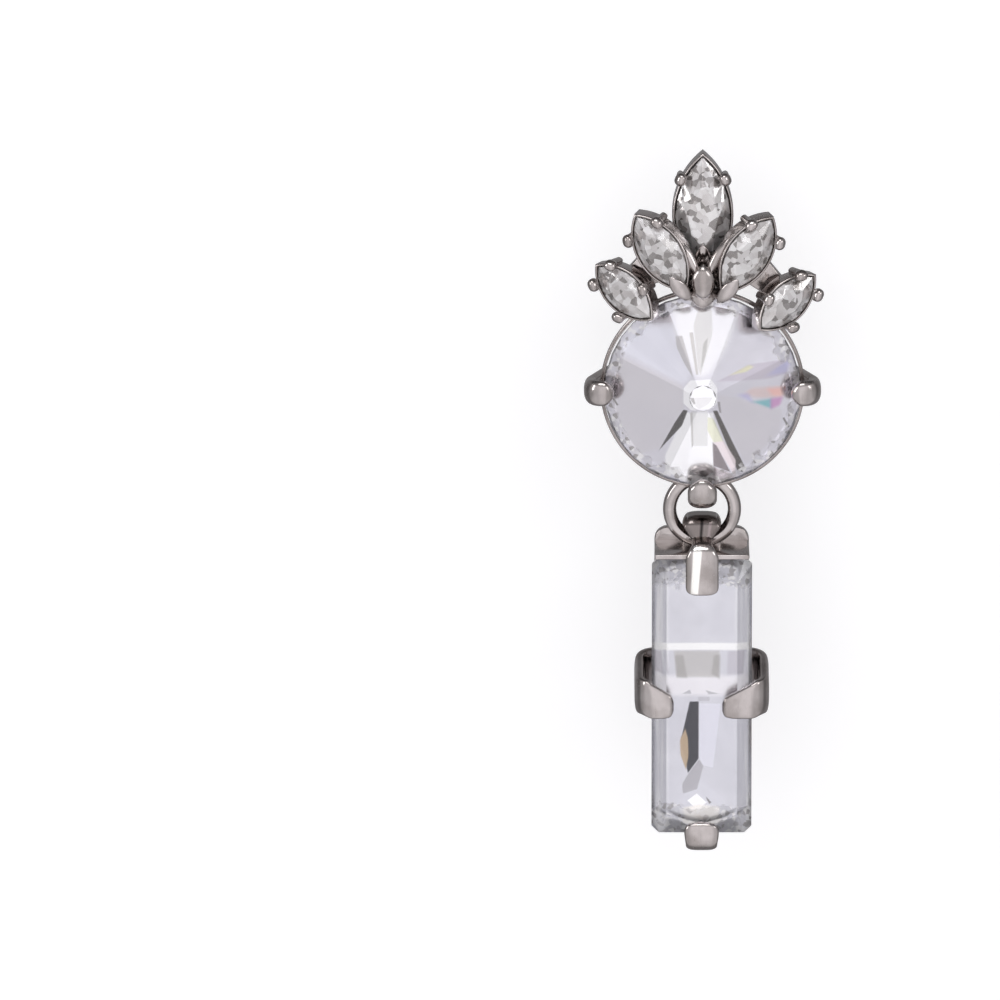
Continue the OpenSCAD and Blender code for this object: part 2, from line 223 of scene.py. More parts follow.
def filleted(corners: Sequence[Sequence[float]], radius: float | Sequence[float], closed: bool = False) -> Array:
    """A line through corners, each rounded by an arc that touches both its sides.

    Args:
        corners: Points of two or three numbers.
        radius: Of the arcs, one for all or one a corner.
        closed: True for an outline.

    Returns:
        Array of points along the line.
    """
    pts = np.asarray(corners, dtype=float)
    n = len(pts)
    radii = np.broadcast_to(np.asarray(radius, dtype=float), (n,))
    out: list[Array] = []
    for i in range(n):
        if not closed and i in (0, n - 1):
            out.append(pts[i:i + 1])
            continue
        a, b = pts[(i - 1) % n] - pts[i], pts[(i + 1) % n] - pts[i]
        la, lb = np.linalg.norm(a), np.linalg.norm(b)
        a, b = a / la, b / lb
        half = math.acos(float(np.clip(a @ b, -1, 1))) / 2
        if half > STRAIGHT or radii[i] <= 0:
            out.append(pts[i:i + 1])
            continue
        reach = min(radii[i] / math.tan(half), SIDE_SHARE * la, SIDE_SHARE * lb)
        r = reach * math.tan(half)
        middle = pts[i] + (a + b) / np.linalg.norm(a + b) * (r / math.sin(half))
        p0, p1 = pts[i] + a * reach - middle, pts[i] + b * reach - middle
        sweep = math.pi - 2 * half
        t = np.linspace(0, 1, max(4, int(sweep / ARC_STEP)))[:, None]
        out.append(middle + (np.sin((1 - t) * sweep) * p0 + np.sin(t * sweep) * p1) / math.sin(sweep))
    return np.concatenate(out)


def evenly(line: Array, count: int, closed: bool = False) -> Array:
    """The line sampled at even steps of its length.

    Args:
        line: Points along it.
        count: Number of points wanted.
        closed: True if it goes on to its first point.

    Returns:
        Array (count, dimensions).
    """
    pts = np.concatenate([line, line[:1]]) if closed else line
    along = np.concatenate([[0.0], np.cumsum(np.linalg.norm(np.diff(pts, axis=0), axis=1))])
    at = np.linspace(0, along[-1], count + 1)[:-1] if closed else np.linspace(0, along[-1], count)
    return np.stack([np.interp(at, along, pts[:, k]) for k in range(pts.shape[1])], axis=-1)


def course(stops: Sequence[tuple[float, float]], count: int) -> Array:
    """Values along a path, eased between stops.

    Each stretch between two stops follows t*t*(3 - 2t).

    Args:
        stops: (share of the path, value) in order.
        count: Number of values.

    Returns:
        Array of values.
    """
    at = np.linspace(0, 1, count)
    xs, ys = np.array([s[0] for s in stops], dtype=float), np.array([s[1] for s in stops], dtype=float)
    i = np.clip(np.searchsorted(xs, at, side="right") - 1, 0, len(xs) - 2)
    t = np.clip((at - xs[i]) / (xs[i + 1] - xs[i]), 0, 1)
    return ys[i] + (ys[i + 1] - ys[i]) * t * t * (3 - 2 * t)


def rounded_ends(count: int, start: float, end: float, power: float) -> Array:
    """Factor that draws a strap in at its ends: (1 - t**p)**(1/p) over the given shares of its length.

    Args:
        count: Number of values.
        start: Share of the path drawn in at its start, or 0.
        end: The same at its end.
        power: 2 gives a half circle, more a squarer end.

    Returns:
        Array of factors, no smaller than the tip's.
    """
    at = np.linspace(0, 1, count)
    t = np.zeros(count)
    if start > 0:
        t = np.maximum(t, (start - at) / start)
    if end > 0:
        t = np.maximum(t, (at - 1 + end) / end)
    return np.maximum((1 - np.clip(t, 0, 1) ** power) ** (1 / power), TIP)


def swept(path: Array, across: Sequence[float], half_width: Array, half_thick: Array, power: float, columns: int,
          ring: bool = False, bulge: float = 0.0) -> Shell:
    """A strap or wire: a rounded section carried along a path.

    The section is across*w*c + normal*t*s, where c and s are the cosine and sine of the angle round it, each drawn
    out to the power 2/p, so that p = 2 is an ellipse and a large p a rectangle with soft edges.

    Args:
        path: Array (n, 3) in millimetres.
        across: Direction of the strap's width.
        half_width: Half width at each point of the path.
        half_thick: Half thickness at each point.
        power: The p above.
        columns: Points round the section.
        ring: True for a closed path.
        bulge: Share of the thickness by which the strap's middle stands prouder than its sides.

    Returns:
        The closed surface.
    """
    n = len(path)
    wide = np.broadcast_to(np.asarray(across, dtype=float), (n, 3))
    tangent = (np.roll(path, -1, 0) - np.roll(path, 1, 0)) if ring else np.gradient(path, axis=0)
    normal = np.cross(tangent, wide)
    normal /= np.linalg.norm(normal, axis=1, keepdims=True)
    angle = (np.arange(columns) + 0.5) * 2 * math.pi / columns
    c, s = np.cos(angle), np.sin(angle)
    c, s = np.sign(c) * np.abs(c) ** (2 / power), np.sign(s) * np.abs(s) ** (2 / power)
    s = s * (1 + bulge * (1 - c * c))
    grid = (path[:, None, :] + wide[:, None, :] * half_width[:, None, None] * c[None, :, None]
            + normal[:, None, :] * half_thick[:, None, None] * s[None, :, None])
    return grid_shell(grid, ring)


def plate(outline: Array, back: float, front: float, edge: float, count: int) -> Shell:
    """A flat plate with rounded edges, in (x, forward, z).

    Rows of the outline are drawn in along its normals by edge*(1 - sin a) while the depth goes by edge*(1 - cos a),
    over a quarter turn at each face.

    Args:
        outline: Closed outline (x, z).
        back: Forward depth of its back.
        front: Forward depth of its front.
        edge: Radius of its edges.
        count: Points round the outline.

    Returns:
        The closed surface, still in (x, forward, z).
    """
    line = evenly(outline, count, closed=True)
    tangent = np.roll(line, -1, 0) - np.roll(line, 1, 0)
    area = float(np.sum(line[:, 0] * np.roll(line[:, 1], -1) - line[:, 1] * np.roll(line[:, 0], -1)))
    inward = np.stack([-tangent[:, 1], tangent[:, 0]], axis=-1) * (1 if area > 0 else -1)
    inward /= np.linalg.norm(inward, axis=1, keepdims=True)
    a = np.linspace(0, math.pi / 2, 5)
    inset = np.concatenate([edge * (1 - np.sin(a)), edge * (1 - np.cos(a))])
    depth = np.concatenate([back + edge * (1 - np.cos(a)), front - edge * (1 - np.sin(a))])
    flat = line[None] + inward[None] * inset[:, None, None]
    grid = np.stack([flat[..., 0], np.broadcast_to(depth[:, None], flat.shape[:2]), flat[..., 1]], axis=-1)
    return grid_shell(grid)


def circle(count: int) -> Array:
    """Points (cos a, sin a) at even steps of the angle, anticlockwise, in an array (count, 2)."""
    a = np.arange(count) * 2 * math.pi / count
    return np.column_stack([np.cos(a), np.sin(a)])


def lathe(profile: Array, count: int) -> Shell:
    """A closed profile carried round the forward axis: (r cos a, forward, r sin a).

    Args:
        profile: Closed outline (radius, forward).
        count: Steps round the axis.

    Returns:
        The closed ring, in (x, forward, z).
    """
    flat = circle(count)
    r, f = profile[:, 0], profile[:, 1]
    grid = np.stack([flat[:, :1] * r, np.broadcast_to(f, (count, len(f))), flat[:, 1:] * r], axis=-1)
    return grid_shell(grid, ring=True)


def oval(length: float, width: float, grow: float, count: int) -> Array:
    """Outline of a pointed oval: two arcs of radius (l*l + w*w)/(4w) that meet in tips, each grown by the same step.

    Args:
        length: Tip to tip before it is grown.
        width: Across before it is grown.
        grow: Step outwards.
        count: Number of points, a multiple of four, the first on the upper tip.

    Returns:
        Array (count, 2), anticlockwise.
    """
    radius = (length * length + width * width) / (4 * width)
    offset = radius - width / 2
    grown = radius + grow
    reach = math.acos(offset / grown)
    turn = np.arange(count) * 4 / count
    left = turn < 2
    a = reach * np.where(left, turn - 1, turn - 3)
    side = np.where(left, -1.0, 1.0)
    return np.stack([side * (grown * np.cos(a) - offset), side * grown * np.sin(a)], axis=-1)


def placed(shell: Shell, place: Place) -> Shell:
    """The shell moved by a place function, its faces still outward."""
    return Shell(place(shell.points), shell.faces, shell.smooth, shell.slots).outward()


# ---------------------------------------------------------------- finishes


class Value:
    """A number socket, so that sums on it add Math nodes."""

    def __init__(self, kit: "NodeKit", socket: bpy.types.NodeSocket) -> None:
        self.kit = kit
        self.socket = socket

    def _math(self, operation: str, a: object, b: object) -> "Value":
        """One Math node of two operands."""
        node = self.kit.node("ShaderNodeMath", {"operation": operation}, {0: a, 1: b})
        return Value(self.kit, node.outputs[0])

    def __add__(self, other: object) -> "Value":
        """self + other."""
        return self._math("ADD", self, other)

    def __radd__(self, other: object) -> "Value":
        """other + self."""
        return self._math("ADD", other, self)

    def __sub__(self, other: object) -> "Value":
        """self - other."""
        return self._math("SUBTRACT", self, other)

    def __rsub__(self, other: object) -> "Value":
        """other - self."""
        return self._math("SUBTRACT", other, self)

    def __mul__(self, other: object) -> "Value":
        """self * other."""
        return self._math("MULTIPLY", self, other)

    def __rmul__(self, other: object) -> "Value":
        """other * self."""
        return self._math("MULTIPLY", other, self)

    def __pow__(self, other: object) -> "Value":
        """self ** other."""
        return self._math("POWER", self, other)

    def __abs__(self) -> "Value":
        """Size of self without its sign."""
        return self._math("ABSOLUTE", self, 0.0)

    def between(self, low: float, high: float) -> "Value":
        """0 under low, 1 over high, eased between them."""
        node = self.kit.node("ShaderNodeMapRange", {"interpolation_type": "SMOOTHSTEP"},
                             {"Value": self, "From Min": low, "From Max": high})
        return Value(self.kit, node.outputs["Result"])


class NodeKit:
    """Adds nodes to one material or to the world."""

    def __init__(self, tree: bpy.types.NodeTree) -> None:
        """Keeps the node tree."""
        self.tree = tree

    def node(self, kind: str, settings: dict[str, object] | None = None,
             inputs: dict[object, object] | None = None) -> bpy.types.Node:
        """Adds a node.

        Args:
            kind: Its type.
            settings: Properties, set before the sockets.
            inputs: Socket name or number to a value, a Value or a socket.

        Returns:
            The node.
        """
        made = self.tree.nodes.new(kind)
        for key, value in (settings or {}).items():
            setattr(made, key, value)
        for key, value in (inputs or {}).items():
            socket = made.inputs[key]
            if isinstance(value, Value):
                self.tree.links.new(value.socket, socket)
            elif isinstance(value, bpy.types.NodeSocket):
                self.tree.links.new(value, socket)
            else:
                socket.default_value = value
        return made

    def coordinates(self, scale: Sequence[float] = (1, 1, 1)) -> bpy.types.NodeSocket:
        """Object coordinates, stretched by scale."""
        place = self.node("ShaderNodeTexCoord").outputs["Object"]
        return self.node("ShaderNodeMapping", {}, {"Vector": place, "Scale": tuple(scale)}).outputs[0]

    def millimetres(self) -> tuple[Value, Value, Value]:
        """The three object coordinates in millimetres."""
        return self.split(self.coordinates((1 / MM, 1 / MM, 1 / MM)))

    def noise(self, vector: bpy.types.NodeSocket, scale: float, detail: float) -> Value:
        """Soft noise from 0 to 1, at a scale in waves to a metre."""
        made = self.node("ShaderNodeTexNoise", {"noise_dimensions": "3D"},
                         {"Vector": vector, "Scale": scale, "Detail": detail})
        return Value(self, made.outputs["Fac"])

    def mixed(self, factor: object, a: object, b: object) -> bpy.types.NodeSocket:
        """Colour between a and b."""
        made = self.node("ShaderNodeMix", {"data_type": "RGBA"}, {0: factor, 6: a, 7: b})
        return made.outputs[2]

    def split(self, vector: bpy.types.NodeSocket) -> tuple[Value, Value, Value]:
        """The three numbers of a vector."""
        parts = self.node("ShaderNodeSeparateXYZ", {}, {0: vector})
        return Value(self, parts.outputs[0]), Value(self, parts.outputs[1]), Value(self, parts.outputs[2])

    def sparkles(self, vector: bpy.types.NodeSocket, scale: float) -> Value:
        """One random number from 0 to 1 for each cell of a broken-up surface."""
        cells = self.node("ShaderNodeTexVoronoi", {"voronoi_dimensions": "3D", "feature": "F1"},
                          {"Vector": vector, "Scale": scale})
        return self.split(cells.outputs["Color"])[0]

    def inside(self, x: Value, z: Value, corners: Sequence[tuple[float, float]], soft: float) -> Value:
        """1 inside a convex outline and 0 outside: the product of one soft step at each side.

        Args:
            x: First coordinate.
            z: Second coordinate.
            corners: Of the outline, anticlockwise, in the units of x and z.
            soft: Width of each step.

        Returns:
            The mask.
        """
        mask: Value | None = None
        for (x0, z0), (x1, z1) in zip(corners, [*corners[1:], corners[0]]):
            length = math.hypot(x1 - x0, z1 - z0)
            a, b = -(z1 - z0) / length, (x1 - x0) / length
            side = (x * a + z * b + (-(a * x0 + b * z0))).between(-soft / 2, soft / 2)
            mask = side if mask is None else mask * side
        return mask

    def glinted(self, colour: bpy.types.NodeSocket, middle: tuple[float, float],
                glints: Sequence["Glint"], back: float) -> bpy.types.NodeSocket:
        """Paints reflections and shade over a colour.

        Args:
            colour: What they lie on.
            middle: Where their outlines start from, in millimetres of the row's x and z.
            glints: The painted reflections and shade, the last one on top.
            back: Millimetres of the row's y past which none show.

        Returns:
            The colour with them.
        """
        x, y, z = self.millimetres()
        x, z = x - middle[0], z - middle[1]
        ahead = 1 - y.between(back - 0.1, back + 0.1)
        for glint in glints:
            mask = self.inside(x, z, glint.corners, glint.soft) * glint.strength * ahead
            colour = self.mixed(mask, colour, (*glint.colour, 1))
        return colour


@dataclass(frozen=True)
class Glint:
    """One painted reflection or shade: a convex outline, anticlockwise, in (x, z) from a middle, and a tone."""

    corners: tuple[tuple[float, float], ...]
    colour: tuple[float, float, float]
    soft: float = 0.12
    strength: float = 1.0

    def moved(self, x: float, z: float) -> "Glint":
        """The same reflection elsewhere."""
        return Glint(tuple((a + x, b + z) for a, b in self.corners), self.colour, self.soft, self.strength)


@dataclass(frozen=True)
class PlatedMetal:
    """Warm grey plate on cast and bent brass: soft waves, fine scratches, duller patches and any painted glints."""

    name: str = "plated_metal"
    light: Colour = (0.52, 0.48, 0.468, 1)
    dark: Colour = (0.36, 0.325, 0.312, 1)
    roughness: float = 0.1
    wave: float = 0.35
    middle: tuple[float, float] = (0.0, 0.0)
    glints: tuple[Glint, ...] = ()
    back: float = -1.9

    def make(self) -> bpy.types.Material:
        """Builds the material.

        Returns:
            The material.
        """
        mat = bpy.data.materials.new(self.name)
        mat.use_nodes = True
        kit = NodeKit(mat.node_tree)
        shader = mat.node_tree.nodes["Principled BSDF"]
        here = kit.coordinates()
        patches = kit.noise(here, 420, 3).between(0.35, 0.7)
        scratches = kit.noise(kit.coordinates((1, 1, 0.12)), 9000, 2).between(0.56, 0.72)
        waves = kit.noise(here, 650, 1)
        grain = kit.noise(here, 5200, 2)
        shader.inputs["Metallic"].default_value = 1.0
        rough = patches * 0.1 + scratches * 0.12 + self.roughness
        # The colour carries painted reflections, highlights and shade where glints are given.
        colour = kit.glinted(kit.mixed(patches, self.light, self.dark), self.middle, self.glints, self.back)
        mat.node_tree.links.new(colour, shader.inputs["Base Color"])
        mat.node_tree.links.new(rough.socket, shader.inputs["Roughness"])
        height = waves * self.wave + grain * 0.05 + scratches * -0.03
        bump = kit.node("ShaderNodeBump", {}, {"Strength": 0.35, "Distance": 0.0002, "Height": height})
        mat.node_tree.links.new(bump.outputs[0], shader.inputs["Normal"])
        return mat


@dataclass(frozen=True)
class CutCrystal:
    """Clear crystal with a faint cool tint and hair-fine wear on its facets."""

    name: str = "cut_crystal"
    tint: Colour = (0.965, 0.96, 0.975, 1)
    deep: Colour = (0.93, 0.925, 0.95, 1)
    ior: float = 1.56

    def make(self) -> bpy.types.Material:
        """Builds the material.

        Returns:
            The material.
        """
        mat = bpy.data.materials.new(self.name)
        mat.use_nodes = True
        kit = NodeKit(mat.node_tree)
        shader = mat.node_tree.nodes["Principled BSDF"]
        here = kit.coordinates()
        clouds = kit.noise(here, 260, 2).between(0.3, 0.7)
        wear = kit.noise(kit.coordinates((1, 1, 0.3)), 7000, 2).between(0.66, 0.8)
        shader.inputs["IOR"].default_value = self.ior
        shader.inputs["Transmission Weight"].default_value = 1.0
        mat.node_tree.links.new(kit.mixed(clouds, self.tint, self.deep), shader.inputs["Base Color"])
        mat.node_tree.links.new((wear * 0.02).socket, shader.inputs["Roughness"])
        return mat


class SparkleZone(Enum):
    """Which part of a foil shows painted broken glints."""

    ALL = "all"
    EDGE = "edge"
    ENDS = "ends"


@dataclass(frozen=True)
class Foil:
    """The mirrored back of a cut stone: soft patches, and where wanted painted broken glints and larger reflections.

    Painted broken glints, or chips, cover the foil from sparkle_from outwards, in the zone's measure of distance from
    the
    middle: dark and light cells laid into its colour. Fine streaks cover both its sides from streak_from outwards.
    The single larger painted reflections and shade, or glints, show as far back as the row's y of back. Lengths are
    in millimetres, and 0 leaves out the chips or the streaks.
    """

    name: str = "foiled_back"
    light: Colour = (0.93, 0.925, 0.94, 1)
    dark: Colour = (0.82, 0.81, 0.84, 1)
    roughness: float = 0.12
    sparkle_scale: float = 0.0
    sparkle_zone: SparkleZone = SparkleZone.ALL
    sparkle_from: float = 0.0
    sparkle_dark: Colour = (0.2, 0.18, 0.165, 1)
    sparkle_light: Colour = (1, 0.99, 0.97, 1)
    streak_from: float = 0.0
    streak_light: Colour = (1, 1, 1, 1)
    streak_dark: Colour = (0.76, 0.76, 0.8, 1)
    middle: tuple[float, float] = (0.0, 0.0)
    glints: tuple[Glint, ...] = ()
    back: float = 0.0

    def sparkle_mask(self, kit: NodeKit, here: bpy.types.NodeSocket, x: Value, z: Value) -> Value | float:
        """1 where the foil shows painted broken glints, with an uneven border.

        Args:
            kit: Of the material.
            here: Object coordinates.
            x: Millimetres right of the middle.
            z: Millimetres above it.

        Returns:
            The mask.
        """
        if self.sparkle_zone is SparkleZone.ALL:
            return 1.0
        away = (x * x + z * z) ** 0.5 if self.sparkle_zone is SparkleZone.EDGE else abs(z)
        border = kit.noise(here, 900, 1) * -2.0 + 1.0 + away
        return border.between(self.sparkle_from - 0.2, self.sparkle_from + 0.2)

    def make(self) -> bpy.types.Material:
        """Builds the material.

        Returns:
            The material.
        """
        mat = bpy.data.materials.new(self.name)
        mat.use_nodes = True
        kit = NodeKit(mat.node_tree)
        shader = mat.node_tree.nodes["Principled BSDF"]
        here = kit.coordinates()
        patches = kit.noise(here, 420, 2).between(0.3, 0.75)
        grain = kit.noise(here, 6000, 2)
        colour = kit.mixed(patches, self.light, self.dark)
        x, _, z = kit.millimetres()
        x, z = x - self.middle[0], z - self.middle[1]
        matt: Value | float = 0.0
        if self.streak_from > 0:
            streaks = kit.noise(kit.coordinates((1, 1, 0.06)), 1900, 3).between(0.35, 0.65)
            aside = abs(x).between(self.streak_from, self.streak_from + 0.6) * 0.85
            colour = kit.mixed(aside, colour, kit.mixed(streaks, self.streak_light, self.streak_dark))
            matt = aside * 0.3
        # Painted reflections and shade, the glints, laid over the foil's colour.
        colour = kit.glinted(colour, self.middle, self.glints, self.back)
        # Painted sparkle: dark and light cells laid over the colour where the foil shows broken glints, which is also
        # less metallic there.
        if self.sparkle_scale > 0:
            sparkles = kit.sparkles(here, self.sparkle_scale)
            where = self.sparkle_mask(kit, here, x, z)
            matt = matt + where * 0.45
            colour = kit.mixed(sparkles.between(0.7, 0.9) * where * 0.8, colour, self.sparkle_dark)
            colour = kit.mixed((1 - sparkles.between(0.14, 0.34)) * where * 0.85, colour, self.sparkle_light)
        if isinstance(matt, Value):
            mat.node_tree.links.new((1 - matt).socket, shader.inputs["Metallic"])
        else:
            shader.inputs["Metallic"].default_value = 1 - matt
        mat.node_tree.links.new(colour, shader.inputs["Base Color"])
        mat.node_tree.links.new((grain * 0.05 + self.roughness).socket, shader.inputs["Roughness"])
        return mat


# Painted reflections, highlights and shade: of the bail and its claw from the drop's hinge, of the round stone from
# its middle, and of the long stone from the drop's hinge.
BAIL_GLINTS = (
    Glint(((-2, 0.42), (2, 0.42), (2, 3), (-2, 3)), (0.2, 0.172, 0.165), 0.35, 0.9),
    Glint(((-0.22, 0.6), (0.0, 0.6), (0.12, 2.1), (-0.12, 2.1)), (0.02, 0.018, 0.018), 0.2, 0.9),
    Glint(((0.4, 0.5), (0.6, 0.5), (0.8, 1.9), (0.55, 1.9)), (0.36, 0.3, 0.3), 0.2, 0.7),
    Glint(((-0.95, -3.7), (-0.35, -3.7), (0.0, 0.3), (-0.72, 0.3)), (1, 0.98, 0.94), 0.14, 1),
    Glint(((-1.6, -4.6), (-1.0, -4.6), (-1.0, -0.3), (-1.6, -0.3)), (0.33, 0.3, 0.28), 0.4, 0.7),
)
ROUND_GLINTS = (
    Glint(((-3.79, 2), (-1.52, 1.09), (-0.92, 1.75), (-2.24, 5.42), (-5.59, 5.26), (-6.79, 3.4)),
          (0.86, 0.865, 0.93), 0.6, 0.8),
    Glint(((-7.38, -1.06), (-5.59, -5.52), (-3.31, -4.6), (-1.52, -1.02), (-1.52, 0.91), (-6.97, 3.03)),
          (0.74, 0.72, 0.745), 0.4, 0.8),
    Glint(((1.23, -1.19), (3.51, -6.11), (6.26, -3.52), (6.38, -1.47), (1.23, 0.34)), (0.75, 0.73, 0.76), 0.4, 0.8),
    Glint(((-3.02, -5.26), (-2.96, -6.76), (-0.8, -7.87), (0.93, -7.75), (0.85, -1.16), (-1.34, -1.2)),
          (1, 1, 1), 0.2),
    Glint(((-2, 4.19), (-0.44, 1.66), (0.4, 1.77), (1.95, 3.85), (2.91, 6.87), (-2.48, 6.87)), (1, 1, 1), 0.9, 0.75),
    Glint(((-0.8, -4.27), (0.4, -4.26), (0.4, -1), (-0.9, -1.03)), (0.72, 0.72, 0.7), 0.12, 0.6),
    Glint(((-0.87, -4.48), (-0.75, -4.26), (-0.8, -1.16), (-0.99, -1.17)), (0.5, 0.49, 0.47), 0.1, 0.7),
    Glint(((-2.12, 3.96), (-1.52, 2.74), (-0.8, 1.7), (-0.9, 2.32), (-1.66, 4.82), (-2.18, 4.8)),
          (0.55, 0.53, 0.53), 0.14, 0.8),
    Glint(((-0.54, 1.88), (-0.35, 1.89), (-0.78, 5.07), (-1.09, 5.06)), (0.62, 0.6, 0.57), 0.1, 0.8),
    Glint(((-0.75, 5.57), (-0.38, 2.22), (-0.18, 1.89), (0.78, 4.95), (0.73, 6.8), (-0.38, 6.8)),
          (0.7, 0.69, 0.66), 0.2, 0.65),
    Glint(((-0.14, 2.22), (0.28, 3.56), (0.4, 4.68), (0.04, 4.23)), (0.45, 0.44, 0.42), 0.14, 0.6),
    Glint(((5.42, 1.18), (6.74, 1.46), (7.22, 2.68), (3.75, 2.47), (1.14, 1.33)), (0.66, 0.61, 0.68), 0.2, 0.75),
    Glint(((6.8, 1.52), (7.22, 2.68), (6.38, 2.34), (5.18, 1.44)), (0.56, 0.56, 0.8), 0.5, 0.7),
    Glint(((3.51, 1.91), (4.11, 2.26), (3.75, 2.45), (2.19, 1.76)), (0.84, 0.83, 0.55), 0.2, 0.75),
    Glint(((4.71, -0.38), (6.5, -0.41), (6.38, 0.43), (3.87, 0.58), (3.27, 0.06)), (0.84, 0.66, 0.62), 0.5, 0.7),
    Glint(((5.66, -0.32), (6.5, -0.38), (6.5, 0.37), (5.18, 0.39)), (1.0, 0.6, 0.53), 0.5, 0.75),
    Glint(((4.11, -0.72), (3.69, 0.2), (2.79, 0.12)), (0.58, 0.56, 0.85), 0.4, 0.6),
    Glint(((4.94, -1.09), (5.6, -1.36), (5.6, -0.48), (3.99, -0.58)), (0.2, 0.56, 0.6), 0.4, 0.8),
    Glint(((5.48, -1.35), (6.26, -1.14), (6.5, -0.41), (5.48, -0.46)), (0.66, 0.3, 0.6), 0.4, 0.75),
    Glint(((2.81, -6.62), (3.27, -6.86), (3.44, -6.35), (1.14, -1.02), (0.8, -0.99)), (0.12, 0.11, 0.1), 0.14, 0.95),
    Glint(((1.29, -1.2), (1.47, -1.28), (1.35, -0.29), (1.14, -0.26)), (0.3, 0.29, 0.28), 0.12, 0.7),
    Glint(((0.37, -2.8), (0.9, -3.99), (1.69, -3.95), (0.85, -1.71), (0.4, -1.55)), (0.84, 0.85, 0.62), 0.18, 0.75),
    Glint(((2.67, -7.23), (2.69, -5.68), (1.69, -3.84), (0.9, -3.95)), (0.92, 0.82, 0.83), 0.16, 0.9),
    Glint(((0.9, -6.17), (2.29, -6.81), (1.14, -4.27), (0.8, -3.95)), (0.24, 0.205, 0.21), 0.14, 0.9),
    Glint(((0.99, -8.37), (2.31, -8.37), (2.61, -7.32), (2.29, -6.88), (0.9, -6.25)), (0.6, 0.53, 0.54), 0.2, 0.8),
    Glint(((-2.24, -2.21), (-3.48, -4.8), (-1.66, -2.44), (-1.18, -1.03), (-1.52, -0.98)),
          (0.1, 0.095, 0.09), 0.12, 0.95),
    Glint(((-1.52, -0.43), (-0.92, -0.96), (0.52, -0.93), (1.11, -0.39), (1.14, 0.83), (0.64, 1.54), (-0.98, 1.43),
           (-1.52, 0.79)), (1, 1, 1), 0.12),
    Glint(((-0.92, -0.37), (-0.3, -0.89), (0.4, -0.52), (0.85, 0.12), (-0.92, 0.07)), (0.78, 0.77, 0.76), 0.14, 0.6),
    Glint(((-0.73, -0.47), (-0.61, -0.42), (-0.75, 0.07), (-1.09, 0.07)), (0.35, 0.34, 0.33), 0.08, 0.7),
    Glint(((-6.93, -1.23), (-6.79, -1.16), (-7.26, -0.5), (-7.44, -0.5)), (0.25, 0.24, 0.22), 0.1, 0.8),
    Glint(((6.92, -3.11), (7.1, -3.04), (6.62, -2.2), (6.48, -2.25)), (0.2, 0.19, 0.18), 0.1, 0.8),
    Glint(((3.99, -7.25), (4.41, -6.73), (4.29, -6.61), (3.81, -7.19)), (0.2, 0.19, 0.18), 0.1, 0.8),
)
DROP_GLINTS = (
    Glint(((-4.16, -12.79), (4.16, -12.79), (4.16, -11.11), (-4.16, -11.11)), (0.93, 0.91, 0.92), 0.6, 0.7),
    Glint(((-4.16, -8.94), (4.16, -8.94), (4.16, -8.34), (-4.16, -8.34)), (1, 1, 0.98), 0.18, 0.9),
    Glint(((-2.06, -11.25), (1.39, -11.25), (1.46, -9.01), (-2.27, -9.01)), (0.5, 0.48, 0.45), 0.3, 0.65),
    Glint(((-2.06, -11.25), (-1.18, -11.32), (-1.52, -9.36), (-2.2, -9.36)), (0.36, 0.35, 0.33), 0.3, 0.6),
    Glint(((0.78, -10.97), (1.46, -11.39), (1.5, -9.36), (0.98, -9.36)), (0.36, 0.35, 0.33), 0.3, 0.6),
    Glint(((-4.03, -10.69), (-2.67, -10.97), (-2.94, -9.01), (-4.03, -9.01)), (0.52, 0.49, 0.54), 0.3, 0.6),
    Glint(((2.06, -11.04), (3.01, -10.97), (3.21, -9.01), (2.13, -9.01)), (0.52, 0.49, 0.54), 0.3, 0.6),
    Glint(((-0.85, -12.65), (-0.98, -12.3), (-1.59, -12.65)), (0.4, 0.4, 0.42), 0.12, 0.7),
    Glint(((0.58, -12.72), (1.39, -12.65), (0.3, -12.37)), (0.4, 0.4, 0.42), 0.12, 0.7),
    Glint(((-0.3, -13.28), (0.64, -13.28), (0.64, -12.93), (-0.3, -12.93)), (0.5, 0.49, 0.52), 0.12, 0.6),
    Glint(((-0.18, -18.18), (0.14, -18.75), (0.93, -18.96), (1.55, -13.49), (-0.18, -13.49)),
          (0.8, 0.8, 0.87), 0.16, 0.7),
    Glint(((-1.7, -16.57), (-1.12, -19.4), (-0.25, -18.18), (-0.25, -13.32), (-0.98, -13.32)),
          (0.06, 0.06, 0.07), 0.12),
    Glint(((-1.78, -16.57), (-1.73, -17.83), (-1.29, -19.1), (-1.08, -17.97), (-1.12, -16.43), (-1.35, -15.66)),
          (0.52, 0.4, 0.27), 0.16, 0.95),
    Glint(((-1.05, -19.38), (-1.59, -20.36), (-1.52, -21.13), (-0.37, -20.78), (0.14, -18.82), (-0.21, -18.25)),
          (0.45, 0.44, 0.46), 0.14, 0.85),
    Glint(((-1.16, -21.73), (-0.37, -22.53), (0.44, -21.9), (-0.4, -21.14)), (1, 1, 1), 0.12),
    Glint(((0.44, -21.69), (0.64, -22.01), (0.82, -21.9), (0.37, -21.41)), (0.22, 0.21, 0.21), 0.1, 0.85),
    Glint(((-1.32, -23.37), (1.39, -23.37), (1.52, -22.32), (-0.24, -22.04), (-1.59, -22.39)),
          (0.95, 0.92, 0.86), 0.3, 0.85),
)


